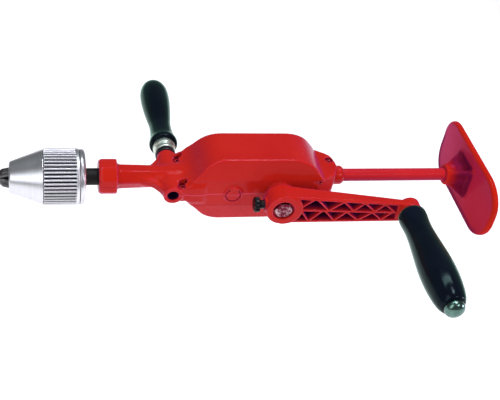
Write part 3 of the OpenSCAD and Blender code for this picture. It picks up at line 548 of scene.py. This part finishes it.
def shell_field(x, y, z):
    ay, az = np.abs(y), np.abs(z)
    block = house(x, ay, az)
    # rear block, its near corner cut off at a slant
    rear = blend([(30, 21.5), (37.4, 21.5), (41.8, 18.9), (45.4, 16.6), (47.8, 14.5), (49.2, 12.1), (50.4, 7.2), (51, 4), (50.8, 0), (49, -5),
                  (46.5, -10.5), (45.2, -14.4), (42, -18.5), (37.5, -21.5), (30, -21.5)], 2, 3)
    rear = smax(poly(x, y, rear), az - F(REAR_H), 1.3)
    d = smin(block, rear, 2.2)
    cb, sb = math.cos(math.radians(64.5)), math.sin(math.radians(64.5))
    cc, sc = math.cos(math.radians(-59.9)), math.sin(math.radians(-59.9))
    px, py, pz = x - F(36.5), y + F(16.1), z - F(REAR_H)
    low = -(px * F(sb * cc) + py * F(sb * sc) + pz * F(cb))
    side = np.maximum(np.abs(px * F(cb * cc) + py * F(cb * sc) - pz * F(sb) - F(12.5)) - F(13.5), np.abs(py * F(cc) - px * F(sc)) - F(25))
    d = cut(d, np.maximum(low, side), 0.7)
    # front shoulder, web and neck
    front = slab(x, ay, az, [(-90, 8), (-85, 14), (-83, 21), (-77, 21.5), (-60, 21.5)], 4, SHOULDER_H, 1.6)
    web = slab(x, ay, az, [(-102, 7), (-95, 10), (-90.5, 16), (-87, 20.5), (-79, 20.5)], 6, 3.0, 1.6)
    flare = F(1) + F(0.14) * np.clip((F(-94) - x) / F(27), 0, 1)
    neck = smax(poly(ay, az / flare, blend([(-9, 7.8), (4.1, 7.8), (8.4, 0), (8.4, -9), (-9, -9)], 1.2, 3)), band(x, -123, -62), 1.0)
    cross = cyl(x - F(HANDLE_X), z, y, 7.2, -23.5, 23.5, 0.9)
    corner = smax(smax(np.abs(x + F(66)) - F(7.5), np.abs(ay - F(18.6)) - F(3.2), 2.0), az - F(6.6), 2.0)
    front = smin(front, corner, 2.4)
    f = smin(smin(front, web, 3.0), neck, 3.6)
    f = smin(f, cross, 2.6)
    d = smin(d, f, 5.0)
    # nose collar
    rad = np.hypot(y, z)
    ring = poly(x, rad, [(-134.5, -1), (-134.5, 11.8), (-132.5, 13.9), (-121.9, 13.9), (-121.1, 13.2), (-121.1, -1)])
    ang = np.arctan2(z, y)
    sector = np.abs((ang / F(math.pi / 4) + F(0.5)) % 1 - F(0.5)) * F(math.pi / 4)
    octo = rad * np.cos(sector) - F(13)
    d = smin(d, smax(ring, octo, 1.2), 3.2)
    # rear collar
    d = smin(d, spin(x, rad, [(46, -1), (46, 7.4), (54.4, 7.4), (56, 6.6), (56.8, 5.8), (56.8, -1)]) - F(0.05), 1.4)
    # idler and crank bosses
    idl = np.hypot(x - F(IDLER_X), z)
    d = smin(d, smax(idl - F(7), band(ay, 12, 23.5), 0.9), 1.6)
    crank = np.hypot(x, z)
    d = smin(d, smax(crank - F(10.7), smax(y + F(14), -F(25.2) - y, 0.6), 0.6), 0.7)
    d = smin(d, smax(crank - F(9.5), band(y, 14, 23.5), 0.8), 1.2)
    for px, py, pz, deck, low in SCREWS:
        d = smin(d, smax(np.hypot(x - F(px), y - F(py)) - F(4.6), band(z, low, 0), 0.8), 1.2)
    # hollow, then the posts inside it
    hole = smax(house(x, ay, az, 2.6, 1.5), band(x, -71, 35.5), 0.8)
    d = cut(d, hole, 0.8)
    post = smax(np.hypot(y, z) - F(9.8), band(x, -79, -64), 0.5)
    post = np.minimum(post, smax(idl - F(7), band(ay, 14.6, 24), 0.5))
    post = np.minimum(post, smax(crank - F(11.5), band(y, -24, -14.1), 0.5))
    post = np.minimum(post, smax(crank - F(9.5), band(y, 13, 24), 0.5))
    for px, py, pz, deck, low in SCREWS:
        post = np.minimum(post, smax(np.hypot(x - F(px), y - F(py)) - F(4.6), band(z, low, pz + 2), 0.5))
    d = smin(d, smax(post, block, 0.4), 0.8)
    # bores
    for r, a, b in ((8.82, -136, -131.1), (10.2, -131.11, -124.9), (6.02, -124.91, -104), (5.35, -104.01, -75.2), (7.52, -75.21, -63), (5.02, 36, 59)):
        d = cut(d, smax(rad - F(r), band(x, a, b), 0.3), 0.5)
    hx = np.hypot(x - F(HANDLE_X), z)
    d = cut(d, smax(hx - F(4.3), band(ay, 7.3, 25), 0.3), 0.7)
    d = cut(d, smax(idl - F(4.02), band(y, -22.8, 21.2), 0.2), 0.3)
    d = cut(d, smax(crank - F(9.52), band(y, -26, -13), 0.3), 0.5)
    d = cut(d, smax(crank - F(7.02), band(y, 12, 21), 0.3), 0.3)
    # open ring cut in the idler boss
    groove = smax(np.abs(idl - F(5.6)) - F(0.6), band(ay, 22.2, 26), 0.3)
    gap = smax(np.abs(x - F(IDLER_X + 0.6)) - F(3.2), -z, 0.4)
    d = cut(d, smax(groove, -gap, 0.4), 0.5)
    for px, py, pz, deck, low in SCREWS:
        s = np.hypot(x - F(px), y - F(py))
        d = cut(d, smax(s - F(HEAD_R + 0.15), band(z, pz - 1.4, deck + 9), 0.3), 0.5)
        if px < 0:
            # the recess opens towards the crank side
            lean = np.maximum(z - F(pz), 0)
            t = np.hypot(x - F(px) + lean * F(0.35), y - F(py) + lean * F(1.1))
            d = cut(d, smax(t - F(HEAD_R - 0.1), band(z, pz - 0.3, deck + 3), 0.4), 0.9)
        d = cut(d, smax(s - F(SHANK_R + 0.25), band(z, -0.5, pz + 1), 0.2), 0.2)
        d = cut(d, smax(s - F(SHANK_R + 0.05), band(z, low + 0.8, 0.1), 0.2), 0.2)
    return d


def shells():
    xs = steps((-137, -133, 0.6), (-133, -122, 1.0), (-122, -119, 0.6), (-119, -102, 1.2), (-102, -88, 0.7), (-88, -60, 0.55),
               (-60, -44, 0.9), (-44, -27, 0.55), (-27, -14, 1.3), (-14, 14, 0.8), (14, 28, 1.2), (28, 58.4, 0.6))
    ys = steps((-27.2, -17.6, 0.55), (-17.6, -6, 0.8), (-6, 6, 1.0), (6, 17.6, 0.8), (17.6, 25.4, 0.6))
    zs = steps((-0.5, 1.3, 0.3), (1.3, 13, 0.6), (13, 21.4, 1.0), (21.4, 29, 0.7))
    up = field_mesh("upper_casting", lambda x, y, z: smax(shell_field(x, y, z), F(0.02) - z, 0.6), xs, ys, zs)
    add("upper_casting", up, "housing", "red_paint", "upper_shell", mat=SHELL_PAINT)
    lo = field_mesh("lower_casting", lambda x, y, z: smax(shell_field(x, y, z), F(0.02) + z, 0.6), xs, ys, -zs[::-1])
    add("lower_casting", lo, "housing", "red_paint", "lower_shell", mat=SHELL_PAINT)


# ---------- crank arm ----------
THROW = 99.7
RIB_TOP = [(11, 21.6, 1), (25.2, 34.6, 0), (35.4, 45.4, 1), (45.4, 54.4, 0), (54.4, 61.9, 1), (61.9, 71.1, 0), (71.1, 78.2, 1), (78.2, 86.5, 0)]
RIB_LOW = [(13.8, 20.6, 1), (21.4, 29.6, 0), (32.6, 40.7, 1), (40.7, 49.3, 0), (49.3, 59.2, 1), (59.2, 69.6, 0), (69.6, 77.8, 1), (77.8, 84.6, 0)]


def arm_h(x):
    return F(13.1) - F(0.0447) * x


def arm_rear(x):
    return np.minimum(F(-26.3), F(-26.8) - F(0.142) * x)


def strip(x, z, a, b, w):
    (ax, az), (bx, bz) = a, b
    ln = math.hypot(bx - ax, bz - az)
    ux, uz = (bx - ax) / ln, (bz - az) / ln
    return np.maximum(np.abs((x - F(ax)) * F(-uz) + (z - F(az)) * F(ux)) - F(w / 2),
                      np.abs((x - F((ax + bx) / 2)) * F(ux) + (z - F((az + bz) / 2)) * F(uz)) - F(ln / 2 + w / 2))


def pockets(x, z, ribs, s):
    zz = z * F(s)
    d = smax(smax(F(0.9) - zz, zz - (arm_h(x) - F(2.2)), 0.5), band(x, 8, 88.5), 0.5)
    for a, b, low in ribs:
        e = float(arm_h(F(b if low else a))) - 1.9
        d = smax(d, -strip(x, zz, (a, 0.6 if low else e), (b, e if low else 0.6), 1.5), 0.9)
    return d


def arm_field(x, y, z):
    hub = cyl(x, z, y, 13, -42, -26.2, 1.2)
    nub = smax(np.hypot(y + F(34), z) - F(5), band(x, -13.4, 0), 0.8)
    front, rear = F(-41.3) - F(0.055) * x, arm_rear(x)
    body = smax(smax(front - y, y - rear, 1.6), smax(np.abs(z) - arm_h(x), band(x, 0, THROW), 1.0), 2.0)
    end = cyl(x - F(THROW), z, y, 9.2, -47.6, -38.2, 1.2)
    d = smin(smin(smin(hub, nub, 2.0), body, 2.0), end, 2.0)
    d = cut(d, smax(np.hypot(x, z) - F(8.2), y + F(39.5), 0.3), 1.0)
    # hexagonal socket
    hexa = None
    for a in (0, 60, 120):
        q = np.abs(x * F(math.cos(math.radians(a + 30))) + z * F(math.sin(math.radians(a + 30)))) - F(6.55)
        hexa = q if hexa is None else np.maximum(hexa, q)
    d = cut(d, hexa, 0.5)
    d = cut(d, smax(np.hypot(y + F(34), z) - F(2.45), band(x, -20, 0), 0.2), 0.3)
    p = smin(pockets(x, z, RIB_TOP, 1), pockets(x, z, RIB_LOW, -1), 0.3)
    p = smax(p, y - (rear - F(2.6)), 1.0)
    p = smax(p, F(15) - np.hypot(x, z), 0.5)
    d = cut(d, p, 0.9)
    return cut(d, np.hypot(x - F(THROW), z) - F(4.02), 0.4)


def crank_arm():
    me = field_mesh("crank_casting", arm_field,
                    steps((-16, 12, 0.7), (12, 90, 0.5), (90, 110, 0.7)), steps((-49, -36, 0.5), (-36, -25.4, 0.9)), steps((-14, 14, 0.5)))
    add("crank_casting", me, "crank", "red_paint", "crank_arm", mat=ARM_PAINT)


# ---------- breast plate ----------
PLATE_X, BEND, PLATE_T, SOCKET_X = 166.2, 150.0, 5.0, 143.6


def plate_field(x, y, z):
    bow = np.hypot(x - F(PLATE_X - BEND), z)
    pts = []
    for sx_, sz_, a0 in ((1, 1, 0), (-1, 1, 90), (-1, -1, 180), (1, -1, 270)):
        for i in range(13):
            a = math.radians(a0 + 90 * i / 12)
            pts.append((sx_ * (54.4 - 22) + 22 * math.cos(a), sz_ * (26.9 - 22) + 22 * math.sin(a)))
    rim = poly(y + F(3.5), z, pts)
    d = smax(smax(smax(F(BEND - PLATE_T) - bow, rim, 3.2), bow - F(BEND - 0.03), 1.4), F(120) - x, 0.3)
    rad = np.hypot(y, z)
    sock = poly(x, rad, [(SOCKET_X, -1), (SOCKET_X, 7.6), (SOCKET_X + 0.8, 8.4), (PLATE_X - PLATE_T, 8.4), (PLATE_X - PLATE_T, -1)])
    web = None
    tri = [(SOCKET_X + 3, 8), (PLATE_X - PLATE_T - 1.2, 20), (PLATE_X - PLATE_T + 0.8, 20), (PLATE_X - PLATE_T + 0.8, -20),
           (PLATE_X - PLATE_T - 1.2, -20), (SOCKET_X + 3, -8)]
    for a in (45, 135):
        c, s = F(math.cos(math.radians(a))), F(math.sin(math.radians(a)))
        q = smax(poly(x, -y * s + z * c, tri), np.abs(y * c + z * s) - F(1.1), 1.0)
        web = q if web is None else smin(web, q, 1.2)
    d = smin(d, smin(sock, web, 2.4), 2.6)
    d = cut(d, smax(rad - F(5.02), band(x, 130, PLATE_X - 5.3), 0.2), 0.8)
    s = np.hypot(x - F(SOCKET_X + 6), y)
    return cut(d, smax(s - F(1.52), np.abs(z) - F(12), 0.2), 0.4)


def breast_plate():
    me = field_mesh("plate_casting", plate_field, steps((142, 157, 0.6), (157, 167.2, 0.45)),
                    steps((-59.5, -22, 0.9), (-22, 20, 0.55), (20, 52.5, 0.9)), steps((-28.5, -20, 0.7), (-20, 20, 0.6), (20, 28.5, 0.7)))
    add("plate_casting", me, "housing", "red_paint", "breast_plate", mat=PLATE_PAINT)


# ---------- chuck ----------
NOSE_X, CHUCK_R = -199.0, 21.0
CONE_END, SLEEVE_END, CHUCK_END = NOSE_X + 24.3, NOSE_X + 50.4, NOSE_X + 54.6
BODY_R = CHUCK_R - 2


def jaw_edge(x):
    return 2.9 + (x - NOSE_X + 6.5) * math.tan(math.radians(14)) + 3.6 / math.cos(math.radians(14))


def chuck_field(x, y, z):
    rad = np.hypot(y, z)
    r0, r1 = CONE_END + 0.15, CONE_END + 5.35
    d = poly(x, rad, [(NOSE_X, -2), (NOSE_X, 11), (NOSE_X + 0.8, 11.8), (CONE_END - 0.6, 20.5), (CONE_END, 20.1), (CONE_END, BODY_R - 1),
                      (r0, BODY_R - 1), (r0, jaw_edge(r0) - 0.1), (r1, jaw_edge(r1) - 0.1), (r1, BODY_R),
                      (SLEEVE_END + 0.2, BODY_R), (SLEEVE_END + 0.2, 20.2), (SLEEVE_END + 0.7, 20.7), (CHUCK_END - 2.2, 20.8),
                      (CHUCK_END - 0.9, 20.2), (CHUCK_END - 0.2, 19.2), (CHUCK_END, 18.4), (CHUCK_END, -2)])
    s, c = F(math.sin(math.radians(14))), F(math.cos(math.radians(14)))
    for a in (0, 120, 240):
        ca, sa = F(math.cos(math.radians(a))), F(math.sin(math.radians(a)))
        u, v = y * ca + z * sa, z * ca - y * sa - F(2.9)
        px = x - F(NOSE_X - 6.5)
        along, off = px * c + v * s, v * c - px * s
        d = cut(d, smax(np.hypot(u, off) - F(3.86), band(along, -6, 52.2), 0.2), 0.5)
    d = cut(d, smax(rad - F(5.2), band(x, NOSE_X - 2, NOSE_X + 34), 0.2), 0.6)
    return cut(d, smax(rad - F(4.92), band(x, CHUCK_END - 15.6, CHUCK_END + 1), 0.2), 0.3)


def chuck_body():
    me = field_mesh("chuck_casting", chuck_field, steps((NOSE_X - 1, NOSE_X + 2, 0.4), (NOSE_X + 2, CONE_END - 1, 0.9), (CONE_END - 1, CONE_END + 6, 0.5),
                                                        (CONE_END + 6, SLEEVE_END - 1, 1.2), (SLEEVE_END - 1, CHUCK_END + 0.5, 0.4)),
                    steps((-21.4, 21.4, 0.65)), steps((-21.4, 21.4, 0.65)))
    add("chuck_cone", me, "spindle", "chuck_metal", "chuck_body")


# ---------- turned pieces ----------
def rounded(profile):
    """Corner rounding of (along, radius, rounding) points; gives points and their outward normals."""
    pts = [np.array(p[:2], float) for p in profile]
    rnd = [p[2] if len(p) > 2 else 0.3 for p in profile]
    m = len(pts)
    area2 = sum(a[0] * b[1] - b[0] * a[1] for a, b in zip(pts, pts[1:] + pts[:1]))
    out = []
    for i in range(m):
        b, a, c = pts[i], pts[i - 1], pts[(i + 1) % m]
        if b[1] < 1e-6:
            out.append((b[0], 0.0, 0.0, 0.0))
            continue
        la, lc = np.linalg.norm(a - b), np.linalg.norm(c - b)
        if not rnd[i]:
            g = (c - a) / np.linalg.norm(c - a) * (1 if area2 > 0 else -1)
            out.append((b[0], b[1], g[1], -g[0]))
            continue
        d = min(rnd[i], la / 2.02, lc / 2.02)
        p, q = b + (a - b) * d / la, b + (c - b) * d / lc
        turn = abs(math.atan2(*(lambda u, v: (u[0] * v[1] - u[1] * v[0], u @ v))(b - a, c - b)))
        n = max(2, min(14, int(math.degrees(turn) / 9) + 1))
        for k in range(n + 1):
            t = k / n
            w = p * (1 - t) ** 2 + b * 2 * t * (1 - t) + q * t * t
            g = (b - p) * (1 - t) + (q - b) * t
            g = g / np.linalg.norm(g)
            g = g if area2 > 0 else -g
            out.append((w[0], w[1], g[1], -g[0]))
    return out


def lathe(name, profile, axis, at=(0, 0, 0), n=128, wave=None):
    """Closed solid turned about the X or Y axis; wave(along, radius, angle) gives a change of radius."""
    pts = rounded(profile)
    ang = np.arange(n) * 2 * math.pi / n
    co, no, rings, count = [], [], [], 0
    for i, (w, r, nw, nr) in enumerate(pts):
        if r < 1e-6:
            near = [pts[i - 1][0], pts[(i + 1) % len(pts)][0]]
            side = [q for q, k in ((near[0], pts[i - 1][1]), (near[1], pts[(i + 1) % len(pts)][1])) if k > 1e-6]
            other = [p[0] for p in pts if p[1] < 1e-6 and p[0] != w]
            out = 1.0 if not other or w > other[0] else -1.0
            co.append(np.array([[w, 0, 0]]))
            no.append(np.array([[out, 0, 0]]))
            rings.append([count])
            count += 1
        else:
            rr = r + (wave(w, r, ang) if wave else 0) * np.ones(n)
            co.append(np.stack([np.full(n, w), rr * np.cos(ang), rr * np.sin(ang)], 1))
            no.append(np.stack([np.full(n, nw), nr * np.cos(ang), nr * np.sin(ang)], 1))
            rings.append(list(range(count, count + n)))
            count += n
    co, no = np.concatenate(co), np.concatenate(no)
    faces = []
    for a, b in zip(rings, rings[1:] + rings[:1]):
        if len(a) == 1 and len(b) == 1:
            continue
        for k in range(n):
            j = (k + 1) % n
            if len(a) == 1:
                faces.append((a[0], b[j], b[k]))
            elif len(b) == 1:
                faces.append((a[k], a[j], b[0]))
            else:
                faces.append((a[k], a[j], b[j], b[k]))
    if sum((p[0] * q[1] - q[0] * p[1]) for p, q in zip(pts, pts[1:] + pts[:1])) > 0:
        faces = [f[::-1] for f in faces]
    if axis == "y":
        co, no = co[:, [2, 0, 1]], no[:, [2, 0, 1]]
    me = bpy.data.meshes.new(name)
    me.from_pydata([tuple(p) for p in to_row(co + np.array(at, float))], [], faces)
    me.polygons.foreach_set("use_smooth", np.ones(len(faces), bool))
    me.update()
    if wave is None:
        me.normals_split_custom_set_from_vertices([tuple(q) for q in no])
    return me


RIBS = 45


def rib_wave(w, r, ang):
    """Round grooves between the ribs, run out at their two ends."""
    a, b = CONE_END + 0.15, SLEEVE_END - 2.3
    end = min(1, max(0, (w - a) / 0.9), max(0, (b - w) / 0.9)) if a < w < b else 0
    if r < BODY_R + 0.6:
        return 0
    g = 0.5 + 0.5 * np.cos(ang * RIBS)
    return -1.55 * math.sqrt(end) * g ** 1.5


def chuck_sleeve():
    x0, x1, ri = CONE_END + 0.2, SLEEVE_END, BODY_R + 0.08
    outer = [(x0, CHUCK_R - 0.4, 0.15), (x0 + 0.3, CHUCK_R, 0.15)]
    outer += [(x0 + 0.5 + 0.25 * k, CHUCK_R, 0) for k in range(8)]
    outer += [(x0 + 3 + 2.15 * k, CHUCK_R, 0) for k in range(10)]
    outer += [(x1 - 3.5 + 0.25 * k, CHUCK_R, 0) for k in range(7)]
    outer += [(x1 - 1.2, CHUCK_R, 0), (x1 - 0.6, CHUCK_R, 0.3), (x1, CHUCK_R - 0.7, 0.3)]
    me = lathe("sleeve_ribs", outer + [(x1, ri, 0.05), (x0, ri, 0.05)], "x", n=RIBS * 10, wave=rib_wave)
    add("sleeve_ribs", me, "sleeve", "chuck_metal", "chuck_sleeve", mat=RIB_METAL)


THROW_AT, SIDE_AT = (THROW, 0, 0), (HANDLE_X, 0, 0)
GRIP_R = 13.7


def turned_pieces():
    g = GRIP_R
    grip = [(-144, 4.06, 0.05), (-144, 7.8, 0.5), (-143, 9.2, 0.9), (-140, 10.8, 2), (-134, g - 1.5, 4), (-124, g - 0.3, 6), (-113, g, 6),
            (-104, g - 0.25, 7), (-90, g - 1.5, 7), (-76, g - 2.9, 6), (-66, g - 3.4, 4), (-60, g - 3.1, 3), (-55, g - 2.7, 2),
            (-51.5, g - 2.7, 1.5), (-49.4, g - 3.1, 1), (-48.3, g - 4.1, 0.8), (-47.8, g - 5.3, 0.6), (-47.8, 4.06, 0.05)]
    add("grip_turned", lathe("grip_turned", grip, "y", THROW_AT, 144), "grip", "black_lacquer", "crank_grip")
    dome = [(-144.25, 3.52, 0.05), (-144.25, 7.0, 0.3), (-144.8, 7.6, 0.4)]
    dome += [(-145.8 - 5.2 * math.sin(math.radians(a)), 7.6 * math.cos(math.radians(a)), 0.5) for a in range(0, 86, 5)]
    dome += [(-151.0, 0.0), (-147.9, 0.0), (-147.9, 3.52, 0.05)]
    add("cap_dome", lathe("cap_dome", dome, "y", THROW_AT, 96), "crank", "nickel", "axle_cap", mat=CAP_CHROME)
    side = [(37.05, 3.97, 0.05), (37.05, 9.9, 0.3), (37.6, 10.7, 0.5), (38.8, 11.1, 0.6), (40.6, 11.1, 0.7), (42, 10.8, 0.8), (44.5, 10, 1.4),
            (49, 9.2, 2.4), (56, 8.6, 3.5), (63, 8.5, 4), (72, 9.5, 5), (82, 10.7, 5), (92, 11.6, 4.5), (101, 11.9, 3.5), (108, 11.6, 3),
            (114, 10.2, 2.5), (118, 8.1, 1.6), (120.4, 5.4, 1.2), (121.4, 2.6, 0.5), (121.6, 0), (74.1, 0), (74.1, 3.97, 0.1)]
    add("side_turned", lathe("side_turned", side, "y", SIDE_AT, 144), "side_handle", "black_lacquer", "side_grip")
    fer = [(27.85, 3.97, 0.05), (27.85, 7.7, 0.3), (28.5, 8.2, 0.4), (31.2, 8.2, 0.4), (31.6, 7.7, 0.2), (32.4, 7.7, 0.2), (32.8, 8.8, 0.4),
           (35.6, 8.8, 0.4), (36, 8.4, 0.2), (37, 8.4, 0.2), (37, 3.97, 0.05)]
    add("ferrule_turned", lathe("ferrule_turned", fer, "y", SIDE_AT, 120), "side_handle", "nickel", "side_ferrule")
    ring = [(23.6, 3.97, 0.05), (23.6, 7.4, 0.4), (24.2, 7.9, 0.5), (27.2, 7.9, 0.5), (27.8, 7.4, 0.4), (27.8, 3.97, 0.05)]
    add("lock_ring_turned", lathe("lock_ring_turned", ring, "y", SIDE_AT, 96), "side_handle", "dark_steel", "side_lock_ring")
    knob = [(-21.7, 0.0), (-21.7, 4.6, 0.6), (-21.1, 5.6, 0.5), (-20.5, 5.9, 0.4), (-19.4, 5.9, 0.4), (-18.2, 5.9, 0.5), (-17.5, 5.3, 0.4),
            (-17.0, 3.5, 0.5), (-14.4, 3.1, 0.4), (-13.7, 3.4, 0.2), (-13.5, 2.42, 0.05), (-18.4, 2.42, 0.05), (-18.4, 0.0)]

    def lobes(w, r, ang):
        return -1.1 * (0.5 + 0.5 * np.cos(8 * ang)) ** 3 * min(1, max(0, (r - 4.2) / 1.2))

    add("knob_moulded", lathe("knob_moulded", knob, "x", (0, -34, 0), 160, lobes), "thumb", "black_plastic", "thumb_knob")


# ---------- screws and the hexagonal shaft end ----------
def screw_field(px, py, pz, low, x, y, z):
    s = np.hypot(x - F(px), y - F(py))
    head = poly(z, s, [(pz - 1.4, -1), (pz - 1.4, HEAD_R), (pz - 0.4, HEAD_R), (pz + 0.2, HEAD_R - 0.5), (pz + 0.62, HEAD_R - 1.3), (pz + 0.8, -1)])
    d = smin(head, smax(s - F(SHANK_R), band(z, low + 1, pz), 0.3), 0.3)
    for a in (45, 135):
        c, q = F(math.cos(math.radians(a))), F(math.sin(math.radians(a)))
        u, v = (x - F(px)) * c + (y - F(py)) * q, (y - F(py)) * c - (x - F(px)) * q
        d = cut(d, smax(smax(np.abs(u) - F(1.85), np.abs(v) - F(0.44), 0.2), F(pz - 0.7) - z, 0.2), 0.25)
    return d


def screws():
    parts = []
    for k, (px, py, pz, deck, low) in enumerate(SCREWS):
        me = field_mesh(f"screw_{k}", lambda x, y, z: screw_field(px, py, pz, low, x, y, z),
                        steps((px - 3.1, px + 3.1, 0.2)), steps((py - 3.1, py + 3.1, 0.2)), steps((low + 0.5, pz - 1.6, 0.8), (pz - 1.6, pz + 1, 0.2)))
        parts.append(me)
    co = [np.array([v.co[:] for v in me.vertices]) for me in parts]
    base = np.cumsum([0] + [len(c) for c in co])
    faces = [tuple(int(base[k]) + i for i in f.vertices) for k, me in enumerate(parts) for f in me.polygons]
    me = bpy.data.meshes.new("screws_painted")
    me.from_pydata([tuple(p) for p in np.concatenate(co)], [], faces)
    me.polygons.foreach_set("use_smooth", np.ones(len(faces), bool))
    me.update()
    add("screws_painted", me, "housing", "red_paint", "shell_screws", mat=SCREW_PAINT)


def shaft_field(x, y, z):
    rad = np.hypot(x, z)
    hexa = None
    for a in (0, 60, 120):
        q = np.abs(x * F(math.cos(math.radians(a + 30))) + z * F(math.sin(math.radians(a + 30)))) - F(6.5)
        hexa = q if hexa is None else smax(hexa, q, 0.7)
    tip = poly(y, rad, [(-41.8, -1), (-41.8, 6.3), (-40.6, 7.6), (-25.3, 7.6), (-25.3, -1)])
    d = smax(smax(hexa, tip, 0.4), band(y, -41.8, -25.3), 0.3)
    for r, a, b in ((7.5, -25.4, -14), (6, -14.1, -1), (5, -1.1, 20.6)):
        d = np.minimum(d, smax(rad - F(r), band(y, a, b), 0.4))
    d = cut(d, smax(np.hypot(x, y + F(4.5)) - F(1.27), np.abs(z) - F(10), 0.1), 0.2)
    d = cut(d, smax(smax(F(4.4) - rad, rad - F(6), 0.1), band(y, 11.7, 12.7), 0.1), 0.1)
    return cut(d, smax(np.hypot(y + F(34), z) - F(2.8), band(x, -9, -6.5), 0.1), 0.2)


def crank_shaft():
    me = field_mesh("shaft_machined", shaft_field, steps((-8, 8, 0.45)), steps((-42.2, -39.5, 0.3), (-39.5, -24, 0.8), (-24, 11, 0.9), (11, 21, 0.45)), steps((-8, 8, 0.45)))
    add("shaft_machined", me, "crank", "steel", "crank_shaft", mat=SHAFT_STEEL)


shells()
crank_arm()
breast_plate()
chuck_body()
chuck_sleeve()
turned_pieces()
screws()
crank_shaft()


# ---------- stage ----------
def floor_piece(z=-0.26, half=2.6):
    me = bpy.data.meshes.new("floor")
    me.from_pydata([(-half, -half, z), (half, -half, z), (half, half, z), (-half, half, z)], [], [(0, 1, 2, 3)])
    o = bpy.data.objects.new("floor", me)
    bpy.context.scene.collection.objects.link(o)
    m = Mat("floor_paper", (0.9, 0.9, 0.9, 1), 0.9, spec=0.0)
    c = m.mix(m.noise(3, 2), (0.9, 0.9, 0.9, 1), (0.93, 0.93, 0.93, 1))
    m.bsdf.inputs["Emission Color"].default_value = (1, 1, 1, 1)
    m.bsdf.inputs["Emission Strength"].default_value = 0.3
    m.set(Base_Color=c)
    me.materials.append(m.m)


floor_piece()


def area(name, loc, size, power, color=(1, 1, 1), target=(0.18, 0, 0), glossy=True):
    d = bpy.data.lights.new(name, "AREA")
    d.shape = "RECTANGLE"
    d.size, d.size_y = size
    d.energy = power
    d.color = color
    o = bpy.data.objects.new(name, d)
    o.location = loc
    o.rotation_euler = (Vector(target) - Vector(loc)).to_track_quat("-Z", "Y").to_euler()
    o.visible_glossy = glossy
    bpy.context.scene.collection.objects.link(o)


area("overhead", (0.5, -0.05, 1.4), (0.5, 0.3), 10, (0.97, 0.86, 1.0))
area("key", (-0.6, -0.86, 0.76), (0.7, 1.2), 6.0, (0.94, 0.95, 1.0))
area("back", (0.25, 0.5, 1.3), (1.3, 0.14), 7.0, (0.82, 0.93, 1.0), (0.3, -0.13, 0))
area("right", (1.25, -0.36, 0.12), (0.26, 0.22), 2.6, (1.0, 0.8, 1.0))
area("front", (0.8, -0.85, 0.8), (0.34, 0.12), 2.0, (1.0, 0.82, 0.97), (0.3, 0, 0))
area("fill_top", (0.2, 0.1, 2.2), (2.5, 2.5), 9.8, glossy=False)
area("fill_front", (0.2, -2.2, 0.7), (2.2, 1.6), 14, glossy=False)

world = bpy.data.worlds.new("studio")
world.use_nodes = True
world.node_tree.nodes["Background"].inputs[0].default_value = (0.95, 0.97, 1.0, 1)
world.node_tree.nodes["Background"].inputs[1].default_value = 0.18
bpy.context.scene.world = world

cam = bpy.data.cameras.new("camera")
cam.lens = 68.4
cam.sensor_width = 36
cam_o = bpy.data.objects.new("camera", cam)
right = Vector((0.972529, -0.183711, 0.142958))
up = Vector((0.012928, 0.655811, 0.754814))
forward = Vector((0.232421, 0.732231, -0.640171))
rot = Matrix((right, up, -forward)).transposed()
cam_o.matrix_world = Matrix.Translation((0.009736, -0.5509, 0.456414)) @ rot.to_4x4()
bpy.context.scene.collection.objects.link(cam_o)
bpy.context.scene.camera = cam_o
bpy.context.scene.view_settings.view_transform = "Standard"
